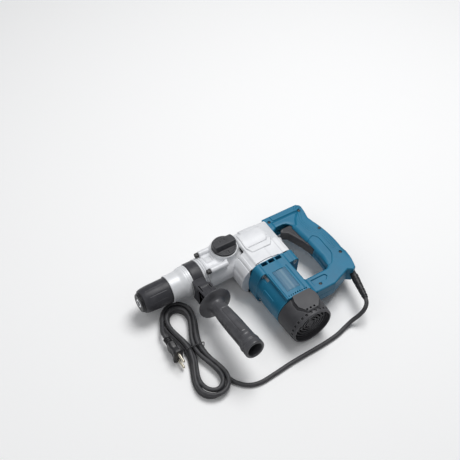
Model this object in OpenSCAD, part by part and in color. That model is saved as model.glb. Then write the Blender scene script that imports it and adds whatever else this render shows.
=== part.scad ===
// Corded rotary hammer with a D-handle, a swivelling side handle and a motor at right angles to
// the spindle. The spindle runs along X with its mouth at the origin and the tool behind it, the
// motor hangs along -Y, and +Z is the tool's left side. The tool lies on its right side.

/* [Front end] */
// Diameter of the bit shank that the tool holder takes
shank_d = 10; // [10:0.5:12]
// Outer diameter of the tool holder under the locking sleeve
holder_d = 26; // [25:0.5:28]
// Largest diameter of the locking sleeve
sleeve_d = 48; // [44:1:49]
// Length of the locking sleeve
sleeve_len = 54; // [48:1:60]
// Travel of the locking sleeve when it is pulled back
sleeve_travel = 6; // [4:0.5:7]
// Diameter of the front collar at its rear end
collar_d = 58; // [56:1:62]
// Length of the front collar
collar_len = 42; // [41:1:60]

/* [Hammer train] */
// Diameter of the piston and the striker
piston_d = 30; // [28:0.5:32]
// Length of the striker body
striker_len = 28; // [22:1:30]
// Stroke of the piston
stroke = 16; // [12:1:18]
// Length of the connecting rod between its two pins
rod_len = 62; // [60:1:66]
// Wall of the spindle cylinder
cylinder_wall = 5; // [4:0.5:5.5]

/* [Gears] */
// Module of the spur gears
spur_module = 1; // [0.9:0.05:1]
// Teeth of the motor pinion
pinion_teeth = 8; // [8:1:9]
// Teeth of the crank gear
crank_teeth = 36; // [34:1:38]
// Teeth of the intermediate gear
inter_teeth = 40; // [39:1:42]
// Module of the bevel gears
bevel_module = 1.25; // [1.2:0.05:1.3]
// Teeth of the bevel pinion
bevel_teeth = 11; // [11:1:12]
// Teeth of the bevel ring gear
ring_teeth = 38; // [36:1:39]
// Face width of the spur gears
gear_face = 8; // [6:0.5:9]

/* [Casings] */
// Width of the neck that the side handle clamps on
band_w = 21; // [14:1:22]
// Diameter of the neck under the clamp band
neck_d = 53.6; // [51:0.2:55]
// Length of the barrel housing behind the neck
barrel_len = 85; // [80:0.5:90]
// Diameter of the barrel housing
barrel_d = 61; // [60:0.5:64]
// Length of the gear housing
gear_case_len = 78; // [76:1:90]
// Half of the width of the gear housing across the tool
case_half = 40; // [39:0.5:44]
// Depth of the gear housing below the spindle axis
case_depth = 60; // [60:0.5:64]
// Distance of the motor axis behind the barrel housing
motor_back = 29.6; // [28:0.2:31]
// Radius of the motor housing
motor_r = 42; // [41:0.5:46]
// Length of the motor housing
motor_len = 90; // [88:1:110]
// Length of the end cap
cap_len = 48; // [44:1:60]
// Wall of the cast and moulded casings
wall = 3; // [2.5:0.1:3.5]

/* [Motor] */
// Outer radius of the armature core
core_r = 19; // [16:0.5:19.5]
// Length of the armature core
core_len = 36; // [30:1:37]
// Radius of the fan
fan_r = 32; // [28:0.5:34]
// Radius of the commutator
commutator_r = 12; // [11:0.5:13]

/* [Handle] */
// Length from the back of the gear housing to the back of the handle
handle_reach = 102; // [98:1:110]
// Height of the handle's top edge above the spindle axis
handle_top = 42; // [40:0.5:46]
// Half of the handle's thickness
handle_half = 17.5; // [16.5:0.5:20]
// Thickness of the gripped part, front to back
grip_depth = 54; // [52:1:58]
// Height of the finger gap
gap_h = 127; // [118:1:130]
// Width of the trigger
trigger_w = 21; // [18:0.5:22]

/* [Mode knob] */
// Radius of the mode knob's disc
knob_r = 23; // [20:0.5:24]
// Height of the thumb bar above the disc
knob_bar_h = 9; // [6:0.5:12]

/* [Side handle] */
// Swing of the side handle about the spindle, in degrees
side_swing = 9.5; // [0:0.5:12]
// Length of the side grip behind its flange
side_grip_len = 129; // [120:1:145]
// Radius of the side grip at its middle
side_grip_r = 16.5; // [15:0.5:18]
// Radius of the side grip's flange
flange_r = 32; // [26:0.5:33]
// Diameter of the depth rod that the bracket takes
depth_rod_d = 6; // [5:0.5:8]

/* [Cord] */
// Diameter of the power cord
cord_d = 8; // [7:0.5:9]
// Length of the cord guard
guard_len = 58; // [50:1:62]

/* [Hidden] */

$fn = 72;
eps = 0.01;
run = 0.05;        // radial clearance of a running fit
gap = 0.3;         // clearance between parts that pass each other

// Stations along the spindle
sleeve_x = 4.5;
collar_x = sleeve_x + sleeve_len;
neck_x = collar_x + collar_len;
flange_x = neck_x + band_w;
barrel_flange_w = 13;
seam_x = flange_x + barrel_len;
case_back = seam_x + gear_case_len;
motor_x = seam_x + motor_back;
crank_x = motor_x + spur_module * (pinion_teeth + crank_teeth) / 2;
inter_x = motor_x - spur_module * (pinion_teeth + inter_teeth) / 2;
motor_bottom = case_depth + motor_len;
cap_bottom = motor_bottom + cap_len;

// Tool holder and what rides on it
holder_r = holder_d / 2;
sleeve_r = sleeve_d / 2;
sleeve_nose_r = sleeve_d / 2 - 4.3;
snap_x = collar_x - 22;
spring_front = sleeve_x + 22.5;
spring_back = collar_x - 3;
socket_r = shank_d / 2 + run;
socket_depth = 50;
ball_r = 3.5;
ball_x = 30;
ball_seat = socket_r + ball_r - 0.3;
socket_guide = ball_x - ball_r - 0.5;
relief_r = socket_r + 0.4;
key_x = 36;
key_len = 13;
journal_r = holder_r + 3;
bolt_r = 8;
bolt_flange_r = journal_r - 4.5;
bolt_flange_w = 7;
bolt_x = socket_depth + 4;
bolt_play = 5;
collar_bore = journal_r + 7.5;
bearing_w = 12;
seal_x = collar_x + 14;
bearing_x = seal_x + 8;

// Cylinder, striker and piston
bore_r = piston_d / 2 + run;
cylinder_r = bore_r + cylinder_wall - run;
cylinder_x = bearing_x + bearing_w + 2;
spigot_x = cylinder_x + 0.6;
spigot_len = neck_x - spigot_x;
holder_end = cylinder_x + 13;
bolt_end = holder_end + 4;
ring_apex_x = inter_x;
bevel_r1 = bevel_module * bevel_teeth / 2;
bevel_r2 = bevel_module * ring_teeth / 2;
bevel_cone = sqrt(bevel_r1 * bevel_r1 + bevel_r2 * bevel_r2);
bevel_face = 6;
cylinder_end = ring_apex_x - bevel_r1 - 2.5;
gudgeon_x = crank_x + stroke / 2 - rod_len;
gudgeon_r = 4;
piston_front = gudgeon_x - 18;
piston_back = gudgeon_x + 8;
piston_groove = piston_front + 3;
striker_back = piston_front - stroke - 5;
striker_front = striker_back - striker_len;
striker_groove = striker_front + 6;
rod_h = 12;
striker_travel = 7.5;
nose_len = striker_front - bolt_end - striker_travel - bolt_play - gap;
rear_bearing_x = flange_x + barrel_flange_w + 2;
screw_seat_x = flange_x + 13;
barrel_bore = max(cylinder_r + 6.4, bevel_r2 + 2.6);
barrel_r = barrel_d / 2;

// Crank and gear levels below the spindle axis
crank_pin_r = 4;
disc_top = 10;
disc_h = 14;
disc_r = stroke / 2 + 8;
web_top = 28;
web_h = 8;
gear_top = web_top + web_h + 5;
gear_low = gear_top + gear_face;
shaft_r = 8;
inter_shaft_r = 5;
floor_top = gear_low + 3;
floor_h = case_depth - floor_top;
crank_bearing_r = 16;
tooth_play = 0.16;

// Motor
shaft_rm = 5;
fan_top = case_depth + 4;
core_top = case_depth + 20;
core_low = core_top + core_len;
commutator_top = core_low + 5;
commutator_len = 14;
rear_bearing_top = commutator_top + commutator_len + 3;
stator_bore = core_r + 0.8;
stator_r = motor_r - wall;
front_bearing_r = 12;
rear_bearing_r = 11;
web_low = rear_bearing_top - 1;
brush_low = commutator_top + 4;
brush_w = 5.9;
brush_len = 14;
brush_wall = 1.2;
holder_w = brush_w + 2 * run + 2 * brush_wall;
motor_flange_h = 24;
flange_bow = 90;
panel_half = 25.5;
case_round = 10;
case_front_c = seam_x + 11;
motor_screw_x = [seam_x + 1, case_back - 9];
motor_screw_z = sqrt(pow(motor_r + 1.7, 2) - pow(motor_x - motor_screw_x[0], 2));
motor_screw_spots = [for (x = motor_screw_x, side = [-1, 1]) [x, side * motor_screw_z]];
motor_pocket = 18;
motor_head_r = 4.4;
motor_head_h = 4;

// Handle
handle_back = case_back + handle_reach;
handle_front = case_back;
arm_front = motor_x + motor_r + 0.4;
grip_front = handle_back - grip_depth;
gap_top = 11;
gap_low = gap_top - gap_h;
arm_low = gap_low - 35;
back_y = -68;
back_half = 72;
back_bulge = 13;
back_r = (back_half * back_half + back_bulge * back_bulge) / (2 * back_bulge);
back_a = asin(back_half / back_r);
pivot_x = grip_front + 8;
pivot_y = -58;
pivot_r = 2;
guard_tilt = 15;
guard_x = handle_back - 17;
guard_y = arm_low + 10;
guard_neck_r = 6;
inner_half = handle_half - wall - gap;
switch_x = pivot_x + 5 + 9;
switch_low = 46;
switch_h = 44;
switch_back = 21;
block_x = arm_front + 32;
block_y = arm_low + 12;
block_len = 26;
block_h = 14;
handle_screw_spots = [[handle_front + 12, handle_top - 13], [handle_back - 22, handle_top - 16],
    [handle_back - 14, -30], [handle_back - 16, -98], [arm_front + 16, arm_low + 13]];

// Mode knob
knob_x = seam_x - knob_r - 3;
knob_y = 7.5;
knob_z = 39;
knob_shaft_r = 6;

// Side handle
band_r = barrel_d / 2 - 0.5;
bracket_w = 26;
bracket_half = 20;
bracket_top = 24;
bracket_step = 43.5;
bracket_low = 75.5;
grip_x = neck_x + band_w / 2;
grip_top = bracket_low + gap;
clamp_r = 4;
stem_z = 6;
rod_hole_y = 60;
rod_hole_z = 10.5;

// Screw places round the barrel as [y, z], and the screw sizes
barrel_screw_spots = [[21.6, 29], [-21.6, 29], [21.6, -29], [-9, -34.5]];
screw_head_r = 4.5;
screw_head_h = 7;
screw_r = 2.5;
boss_r = 5.5;

// Cord
rest_z = -motor_r;
cord_r = cord_d / 2;
cord_z = rest_z + cord_r;
hank_x = 48;
hank_y = -112;
hank_tilt = 5;
hank_half_len = 104;
hank_waist = 18;
hank_belly = 38;
hank_slim_belly = 22;
hank_h = 17;
tie_d = 1.8;
guard_end = [guard_x, guard_y, 0] + guard_len * [-sin(guard_tilt), -cos(guard_tilt), 0];
cord_route = [
    [350, -206, -3], [342, -211, -11], [332, -211, -21], [320, -209, -31], [304, -211, -37],
    [282, -216, cord_z], [250, -219, cord_z], [214, -220, cord_z], [178, -221, cord_z],
    [140, -224, cord_z], [112, -225, cord_z], [92, -219, cord_z], [77, -205, cord_z],
    [69, -190, cord_z]
];
plug_route = [[14, -74, -25], [14, -62, -25], [18, -51, -28], [34, -44, -32]];

// Places a child along +X from x, or along +Y or +Z from a point
module along_x(x) translate([x, 0, 0]) rotate([0, 90, 0]) children();
module along_y(x, y, z = 0) translate([x, y, z]) rotate([-90, 0, 0]) children();
module along_down(x, y, z = 0) translate([x, -y, z]) rotate([90, 0, 0]) children();

// Solid of revolution from [radius, height] points
module turned(points) rotate_extrude($fn = 96) polygon(points);

// Ring of a given height
module ring(outer, inner, h)
    turned([[inner, 0], [outer, 0], [outer, h], [inner, h]]);

// Points of an arc in the plane
function arc(c, r, a0, a1, n = 8) =
    [for (i = [0 : n]) c + r * [cos(a0 + (a1 - a0) * i / n), sin(a0 + (a1 - a0) * i / n)]];

// Helical coil swept round Z, starting at the bottom
module coil(r, wire, h, turns) {
    sides = 6;
    steps = ceil(turns * 14);
    function spot(i) = let (a = 360 * turns * i / steps) [
        for (k = [0 : sides - 1]) let (b = 360 * k / sides)
            [(r + wire * cos(b)) * cos(a), (r + wire * cos(b)) * sin(a),
             wire + (h - 2 * wire) * i / steps + wire * sin(b)]
    ];
    points = [for (i = [0 : steps]) each spot(i)];
    walls = [for (i = [0 : steps - 1], k = [0 : sides - 1]) let (n = (k + 1) % sides)
        [i * sides + k, (i + 1) * sides + k, (i + 1) * sides + n, i * sides + n]];
    first = [for (k = [0 : sides - 1]) k];
    last = [for (k = [sides - 1 : -1 : 0]) steps * sides + k];
    polyhedron(points, concat(walls, [first, last]), convexity = 10);
}

// Involute spur gear outline with a tooth on the +X axis
function involute(t) = t * 180 / PI - atan(t);
function flank_points(r_base, half, sign, up) =
    [for (i = up ? [0 : 3] : [3 : -1 : 0]) let (t = 0.2 + i * half[1] / 3)
        let (r = r_base * sqrt(1 + t * t), a = sign * (half[0] - involute(t)))
        [r, a]];
module spur_outline(teeth, play = tooth_play) {
    m = spur_module;
    r_pitch = m * teeth / 2;
    r_base = r_pitch * cos(20);
    r_root = r_pitch - 1.2 * m;
    t_tip = sqrt(pow((r_pitch + 0.85 * m) / r_base, 2) - 1);
    half = 90 / teeth - play / r_pitch * 90 / PI + involute(tan(20));
    polar = [for (k = [0 : teeth - 1]) let (mid = 360 * k / teeth)
        each concat(
            [[r_root, mid - half - 1]],
            [for (p = flank_points(r_base, [half, t_tip - 0.2], -1, true)) [p[0], mid + p[1]]],
            [for (p = flank_points(r_base, [half, t_tip - 0.2], 1, false)) [p[0], mid + p[1]]],
            [[r_root, mid + half + 1]])];
    polygon([for (p = polar) p[0] * [cos(p[1]), sin(p[1])]]);
}

// One bevel tooth and the cone under it; the apex is at the origin and the big end at +Z
module bevel_tooth(delta) {
    m = bevel_module;
    away = [sin(delta), 0, cos(delta)];
    out = [cos(delta), 0, -sin(delta)];
    function corner(s, h, w) = s * (bevel_cone * away + h * m * out + [0, w * m, 0]);
    near = 1 - bevel_face / bevel_cone;
    section = [[-1.2, -0.95], [-1.2, 0.95], [0, 0.64], [0.75, 0.36], [0.75, -0.36], [0, -0.64]];
    points = [for (s = [near, 1], c = section) corner(s, c[0], c[1])];
    walls = [for (k = [0 : 5]) [k, (k + 1) % 6, 6 + (k + 1) % 6, 6 + k]];
    polyhedron(points, concat([[5, 4, 3, 2, 1, 0], [6, 7, 8, 9, 10, 11]], walls));
}
module bevel_teeth_ring(teeth, delta, phase)
    for (k = [0 : teeth - 1]) rotate(phase + 360 * k / teeth) bevel_tooth(delta);
// Point of the root cone at a share s of the cone distance, as [radius, height]
function root_point(delta, s) =
    s * [bevel_cone * sin(delta) - 1.1 * bevel_module * cos(delta),
         bevel_cone * cos(delta) + 1.1 * bevel_module * sin(delta)];

// ---- Front end ----
module dust_cap() color([0.12, 0.12, 0.13]) along_x(0)
    turned(concat([[8.05, 1], [9.5, 0]], arc([sleeve_nose_r - 3.4, 1.6], 1.6, -90, -25, 4),
        [[sleeve_nose_r - 0.9, sleeve_x - 0.5], [sleeve_nose_r - 0.9, sleeve_x + 0.5],
         [holder_r - 0.4, sleeve_x + 0.5], [holder_r - 0.4, 13], [8.05, 13]]));

module tool_holder() color([0.72, 0.73, 0.75]) difference() {
    along_x(0) turned([[0, 0], [7.4, 0], [8, 0.6], [8, 13.5], [holder_r, 15.5],
        [holder_r, collar_x - 2.5], [journal_r, collar_x - 0.5], [journal_r, holder_end],
        [0, holder_end]]);
    difference() {
        union() {
            along_x(-1) cylinder(r = socket_r, h = socket_guide + 1);
            along_x(socket_guide - eps) cylinder(r = relief_r, h = socket_depth + 0.5
                - socket_guide);
        }
        for (side = [-1, 1]) translate([key_x, -1.2, side > 0 ? socket_r - 0.9 : -relief_r - 1])
            cube([key_len, 2.4, relief_r - socket_r + 1.9]);
    }
    along_x(socket_depth) cylinder(r = bolt_r + run, h = cylinder_x - socket_depth);
    along_x(cylinder_x - 1.5) cylinder(r = bolt_flange_r + gap, h = holder_end);
    for (side = [-1, 1]) translate([ball_x, 0, 0]) rotate([side * 90, 0, 0])
        cylinder(r = ball_r + run, h = holder_r + 1);
    along_x(snap_x) ring(holder_r + 1, holder_r - 1, 1.3);
}

module locking_balls() color([0.8, 0.8, 0.82])
    for (side = [-1, 1]) translate([ball_x, side * ball_seat, 0]) sphere(r = ball_r);

module snap_ring() color([0.35, 0.35, 0.37]) along_x(snap_x + 0.05)
    ring(holder_r + 1.3, holder_r - 0.95, 1.2);

// The sleeve's outside is an ogive; inside, its collar rides on the tool holder
function ogive(s) = sleeve_nose_r + (sleeve_r - sleeve_nose_r) * sin(90 * pow(s, 0.45));
module locking_sleeve() color([0.13, 0.13, 0.14]) along_x(sleeve_x + 1)
    turned(concat(
        [[holder_r + run, 0]],
        [for (i = [0 : 10]) [ogive(pow(i / 10, 1.6)), pow(i / 10, 1.6) * (sleeve_len - 24)]],
        [[sleeve_r, sleeve_len - 0.7], [sleeve_r - 2.5, sleeve_len - 0.7],
         [sleeve_r - 2.5, sleeve_len - 12], [sleeve_r - 5, sleeve_len - 24],
         [holder_r + 4.6, spring_front - sleeve_x - 1],
         [holder_r + run, spring_front - sleeve_x - 1]]));

module sleeve_spring() color([0.6, 0.62, 0.65]) along_x(spring_front + 0.1)
    coil(holder_r + 1.3 + 1.6, 0.9, spring_back - spring_front - 0.2, 4);

module front_collar() color([0.84, 0.85, 0.86]) along_x(collar_x) difference() {
    turned(concat([[sleeve_r + 0.6, 0]],
        [[sleeve_r + 2, 0.4], [sleeve_r + 2.2, 2.5], [sleeve_r + 1.9, 3.2], [sleeve_r + 1.9, 20]],
        [for (i = [1 : 6]) [sleeve_r + 1.9 + (collar_d / 2 - sleeve_r - 1.9)
            * (1 - cos(180 * i / 6)) / 2, 20 + (collar_len - 29) * i / 6]],
        [[collar_d / 2, collar_len - 8], [collar_d / 2 + 0.6, collar_len - 7.5],
         [collar_d / 2 + 0.6, collar_len - 5.5], [collar_d / 2, collar_len - 5],
         [collar_d / 2 + 0.6, collar_len - 3], [collar_d / 2 + 0.6, collar_len - gap],
         [collar_bore, collar_len - gap], [collar_bore, 14],
         [journal_r + 1, 13.6], [journal_r + 1, 10.6],
         [sleeve_r + 0.6, sleeve_travel + 3.6]]));
}

module front_bearing() color([0.66, 0.67, 0.7])
    along_x(bearing_x) ring(collar_bore, journal_r + run, bearing_w);

module oil_seal() color([0.2, 0.13, 0.1])
    along_x(seal_x) ring(collar_bore, journal_r + run, 7);

// ---- Hammer train ----
module spindle_cylinder() color([0.6, 0.61, 0.64]) difference() {
    along_x(cylinder_x) turned([[journal_r, 0], [cylinder_r - 1, 0], [cylinder_r, 1],
        [cylinder_r, cylinder_end - cylinder_x], [bore_r, cylinder_end - cylinder_x],
        [bore_r, holder_end - cylinder_x], [journal_r, holder_end - cylinder_x]]);
    for (a = [0 : 60 : 300]) rotate([a, 0, 0]) translate([striker_back + 8, 0, 0])
        cylinder(r = 1.5, h = cylinder_r + 1);
}

// Ring gear pressed on the rear end of the cylinder
module bevel_ring_gear() color([0.55, 0.53, 0.5]) translate([ring_apex_x, 0, 0])
    rotate([0, -90, 0]) {
        delta = atan(ring_teeth / bevel_teeth);
        bevel_teeth_ring(ring_teeth, delta, -90 + 180 / ring_teeth);
        outer = root_point(delta, 1);
        inner = root_point(delta, 1 - bevel_face / bevel_cone);
        seat = ring_apex_x - cylinder_end;
        turned([inner, outer, [outer[0], seat + 7], [cylinder_r, seat + 7],
            [cylinder_r, seat], [inner[0], seat]]);
    }

module impact_bolt() color([0.5, 0.5, 0.53]) along_x(bolt_x) {
    flange_at = cylinder_x - 1 - bolt_x;
    flange_end = flange_at + bolt_flange_w;
    turned([[0, 0], [bolt_r - 2, 0], [bolt_r, 2], [bolt_r, flange_at], [bolt_flange_r, flange_at],
        [bolt_flange_r, flange_end], [bolt_r - 1, flange_end + 2], [bolt_r - 1, bolt_end - bolt_x],
        [0, bolt_end - bolt_x]]);
}

module striker() color([0.62, 0.62, 0.66]) along_x(striker_front - nose_len) {
    body = nose_len;
    groove = striker_groove - striker_front + nose_len;
    r = piston_d / 2;
    turned([[0, 0], [6, 0], [7, 1], [7, body], [r - 1, body], [r, body + 1], [r, groove],
        [r - 1.8, groove], [r - 1.8, groove + 2.4], [r, groove + 2.4],
        [r, body + striker_len], [0, body + striker_len]]);
}

module striker_ring() color([0.1, 0.1, 0.1])
    along_x(striker_groove + 0.1) ring(piston_d / 2, piston_d / 2 - 1.8, 2.2);

module piston() color([0.7, 0.71, 0.74]) difference() {
    r = piston_d / 2;
    along_x(piston_front) turned([[0, 0], [r - 0.5, 0], [r, 0.5], [r, 3], [r - 1.8, 3],
        [r - 1.8, 5.4], [r, 5.4], [r, piston_back - piston_front],
        [r - 4.5, piston_back - piston_front], [r - 4.5, 8], [0, 8]]);
    along_y(gudgeon_x, -r - 1) cylinder(r = gudgeon_r, h = piston_d + 2);
}

module piston_ring() color([0.1, 0.1, 0.1])
    along_x(piston_groove + 0.1) ring(piston_d / 2, piston_d / 2 - 1.8, 2.2);

module gudgeon_pin() color([0.78, 0.78, 0.8])
    along_y(gudgeon_x, -piston_d / 2 + 1) cylinder(r = gudgeon_r, h = piston_d - 2);

module connecting_rod() color([0.57, 0.57, 0.6]) {
    big_x = crank_x + stroke / 2;
    difference() {
        union() {
            along_y(big_x, -rod_h / 2) cylinder(r = 8, h = rod_h);
            along_y(gudgeon_x, -rod_h / 2) cylinder(r = 7, h = rod_h);
            translate([gudgeon_x, -rod_h / 2 + 2, -4]) cube([rod_len, rod_h - 4, 8]);
        }
        along_y(big_x, -rod_h) cylinder(r = crank_pin_r, h = 2 * rod_h);
        along_y(gudgeon_x, -rod_h) cylinder(r = gudgeon_r, h = 2 * rod_h);
    }
}

module crank_pin() color([0.78, 0.78, 0.8])
    along_y(crank_x + stroke / 2, -disc_top + gap) cylinder(r = crank_pin_r, h = disc_top + 7);

module crankshaft() color([0.5, 0.5, 0.53]) difference() {
    along_down(crank_x, disc_top) turned([[0, 0], [disc_r - 1, 0], [disc_r, 1],
        [disc_r, disc_h], [shaft_r + 2, disc_h], [shaft_r + 2, web_top - disc_top - gap],
        [shaft_r, web_top - disc_top - gap], [shaft_r, gear_low - disc_top + 0.5],
        [shaft_r - 4, gear_low - disc_top + 0.5],
        [shaft_r - 4, case_depth - disc_top - 2], [0, case_depth - disc_top - 2]]);
    for (side = [-1, 1]) along_down(crank_x - 9, disc_top - 1, side * 7)
        cylinder(r = 3, h = disc_h - 4);
}

module crank_gear() color([0.56, 0.54, 0.5]) along_down(crank_x, gear_top)
    difference() {
        linear_extrude(gear_face) rotate(180 + 180 / crank_teeth) spur_outline(crank_teeth);
        translate([0, 0, -1]) cylinder(r = shaft_r, h = gear_face + 2);
        for (a = [45 : 90 : 315]) rotate(a) translate([crank_teeth * spur_module / 3.2, 0, -1])
            cylinder(r = 2, h = gear_face + 2);
    }

module crank_bearings() color([0.66, 0.67, 0.7]) {
    along_down(crank_x, web_top) ring(crank_bearing_r, shaft_r + run, web_h);
    along_down(crank_x, floor_top) ring(7.5, shaft_r - 4 + run, floor_h - 2);
}

// ---- Rotation train ----
module intermediate_gear() color([0.56, 0.54, 0.5]) along_down(inter_x, gear_top)
    difference() {
        linear_extrude(gear_face) rotate(180 / inter_teeth) spur_outline(inter_teeth);
        translate([0, 0, -1]) cylinder(r = inter_shaft_r, h = gear_face + 2);
        for (a = [0 : 60 : 300]) rotate(a) translate([12.5, 0, -1])
            cylinder(r = 2.5, h = gear_face + 2);
    }

module bevel_pinion_shaft() color([0.5, 0.5, 0.53]) {
    delta = atan(bevel_teeth / ring_teeth);
    translate([inter_x, 0, 0]) rotate([90, 0, 0]) {
        bevel_teeth_ring(bevel_teeth, delta, 180);
        outer = root_point(delta, 1);
        inner = root_point(delta, 1 - bevel_face / bevel_cone);
        turned([[0, inner[1]], inner, outer, [outer[0], web_top - gap],
            [inter_shaft_r, web_top - gap], [inter_shaft_r, gear_low + 0.5],
            [inter_shaft_r - 1.5, gear_low + 0.5], [inter_shaft_r - 1.5, case_depth - 2],
            [0, case_depth - 2]]);
    }
}

module intermediate_bearings() color([0.66, 0.67, 0.7]) {
    along_down(inter_x, web_top) ring(inter_shaft_r + 4, inter_shaft_r + run, web_h);
    along_down(inter_x, floor_top) ring(inter_shaft_r + 3, inter_shaft_r - 1.5 + run, floor_h - 2);
}

module rear_spindle_bearing() color([0.66, 0.67, 0.7])
    along_x(rear_bearing_x) ring(barrel_bore, cylinder_r + run, 10);

// ---- Casings ----
module barrel_housing() color([0.88, 0.89, 0.9]) difference() {
    union() {
        along_x(spigot_x) turned([[0, 0], [collar_bore - run, 0], [collar_bore - run, spigot_len],
            [neck_d / 2, spigot_len], [neck_d / 2, flange_x - spigot_x],
            [barrel_r, flange_x - spigot_x], [barrel_r, seam_x - spigot_x],
            [0, seam_x - spigot_x]]);
        for (at = [1.5, 5.5, 9.5]) along_x(flange_x + at) ring(barrel_r + 0.8, barrel_r - 1, 2);
        for (spot = barrel_screw_spots) intersection() {
            translate([0, spot[0], spot[1]]) along_x(screw_seat_x) cylinder(r = boss_r, h = 40);
            along_x(screw_seat_x) cylinder(r = norm(spot) + boss_r, h = 40);
        }
        for (spot = barrel_screw_spots) translate([screw_seat_x, spot[0] * 0.85 - 5,
            spot[1] * 0.85 - 5]) cube([40, 10, 10]);
        translate([knob_x, knob_y, 20]) cylinder(r = knob_r + 2, h = knob_z - 20 - gap);
        translate([knob_x, knob_y - 9, 20]) cube([seam_x - knob_x, 18, 14]);
    }
    along_x(cylinder_x) cylinder(r = cylinder_r + 1.2, h = rear_bearing_x - cylinder_x + 1);
    along_x(rear_bearing_x) cylinder(r = barrel_bore, h = seam_x - rear_bearing_x + 1);
    for (spot = barrel_screw_spots) translate([0, spot[0], spot[1]]) along_x(screw_seat_x - 1)
        cylinder(r = screw_r, h = 38);
    translate([knob_x, knob_y, 0]) cylinder(r = knob_shaft_r + run, h = knob_z + 1);
    along_down(inter_x, bevel_r2 - 6) cylinder(r = bevel_r1 + 3.2, h = 20);
    translate([flange_x + 14, knob_y - 7.5, barrel_r - 0.8]) cube([16, 14, 3]);
}

module barrel_screws() color([0.1, 0.1, 0.11])
    for (spot = barrel_screw_spots) translate([0, spot[0], spot[1]]) difference() {
        along_x(screw_seat_x - screw_head_h) union() {
            cylinder(r = screw_head_r, h = screw_head_h);
            cylinder(r = screw_r, h = screw_head_h + 36);
        }
        along_x(screw_seat_x - screw_head_h - 1) cylinder(r = 2.3, h = 5, $fn = 6);
    }

// Outline of the gear housing seen along -Y: a round front and a square back
module case_outline(inset) {
    r = case_half - inset;
    c = max(case_round - inset, 2);
    back = case_back - inset;
    polygon(concat(
        arc([case_front_c, 0], r, 90, 270, 24),
        arc([back - c, -r + c], c, 270, 360, 6),
        arc([back - c, r - c], c, 0, 90, 6)));
}

// Extrudes an outline of the XZ plane downwards from one depth to another
module drop(from, to) translate([0, -from, 0]) rotate([90, 0, 0])
    linear_extrude(to - from) mirror([0, 1]) children();

module gear_housing() color([0.9, 0.9, 0.91]) difference() {
    union() {
        along_x(seam_x) cylinder(r = case_half, h = gear_case_len);
        translate([seam_x, -case_depth, -case_half]) cube([gear_case_len - 4, case_depth + 15,
            2 * case_half]);
        drop(20, case_depth) case_outline(0);
    }
    // Room for the barrel housing in front of the seam
    along_x(seam_x - 60) cylinder(r = barrel_r + gap, h = 60);
    // Upper chamber for the crank, middle chamber for the spur gears
    intersection() {
        union() {
            along_x(seam_x + wall + 1) cylinder(r = case_half - wall, h = gear_case_len - 2 * wall
                - 1);
            drop(0, web_top) case_outline(wall + 1);
        }
        translate([seam_x + wall + 1, -web_top, -case_half]) cube([200, 100, 2 * case_half]);
    }
    along_x(seam_x - 1) cylinder(r = barrel_bore, h = wall + 3);
    drop(web_top + web_h, floor_top) case_outline(wall + 1);
    // Seats and holes of the three upright shafts
    along_down(crank_x, web_top - 1) cylinder(r = crank_bearing_r, h = web_h + 1);
    along_down(crank_x, web_top) cylinder(r = shaft_r + 1, h = web_h + 1);
    along_down(inter_x, web_top - 5) cylinder(r = inter_shaft_r + 4, h = web_h + 5);
    along_down(inter_x, web_top) cylinder(r = inter_shaft_r + 1, h = web_h + 1);
    along_down(crank_x, floor_top - 1) cylinder(r = 7.5, h = floor_h - 1);
    along_down(inter_x, floor_top - 1) cylinder(r = inter_shaft_r + 3, h = floor_h - 1);
    along_down(motor_x, floor_top - 1) cylinder(r = front_bearing_r, h = floor_h - 1 - 1);
    along_down(motor_x, floor_top - 1) cylinder(r = shaft_rm + 1.5, h = floor_h + 2);
    along_down(motor_x, web_top) cylinder(r = shaft_rm + 2.5, h = web_h + 1);
    for (spot = motor_screw_spots) along_down(spot[0], case_depth - 6, spot[1])
        cylinder(r = screw_r, h = 8);
}

module motor_outline(inset) {
    translate([motor_x, 0]) circle(r = motor_r - inset, $fn = 96);
    translate([motor_x - panel_half + inset, -motor_r + 2 + inset])
        square([2 * (panel_half - inset), 2 * (motor_r - 2 - inset)]);
}

// Flange of the motor housing under the gear housing, with a nearly flat front
module motor_flange_outline() intersection() {
    case_outline(0.5);
    translate([motor_x - motor_r - 1.6 + flange_bow, 0]) circle(r = flange_bow);
}

module motor_housing() color([0.13, 0.47, 0.6]) difference() {
    union() {
        drop(case_depth, case_depth + motor_flange_h) motor_flange_outline();
        drop(case_depth, motor_bottom) motor_outline(0);
        translate([motor_x, -motor_bottom, -handle_half]) cube([arm_front - motor_x - gap,
            gap_low + motor_bottom, 2 * handle_half]);
    }
    along_down(motor_x, case_depth - 1) cylinder(r = fan_r + 2.5, h = 18);
    along_down(motor_x, case_depth + 16) cylinder(r = stator_r, h = web_low - case_depth - 16);
    along_down(motor_x, web_low - 1) cylinder(r = rear_bearing_r, h = 9.5);
    along_down(motor_x, web_low - 1) cylinder(r = rear_bearing_r - 2, h = 20);
    along_down(motor_x, web_low + 12) cylinder(r = stator_r, h = 40);
    for (a = [30 : 60 : 330]) along_down(motor_x, web_low - 1) rotate(a) translate([25, 0, 0])
        cylinder(r = 6, h = 20);
    for (spot = motor_screw_spots) {
        along_down(spot[0], case_depth - 1, spot[1]) cylinder(r = screw_r, h = 30);
        along_down(spot[0], case_depth + motor_pocket, spot[1]) cylinder(r = motor_head_r
            + 0.8, h = 30);
    }
    // Air slots in the sides
    for (side = [-1, 1], i = [-1 : 1]) translate([motor_x + 15 * i - 5.5, -case_depth - 9,
        side * (case_half - 6) - 8]) cube([11, 3, 16]);
}

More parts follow.
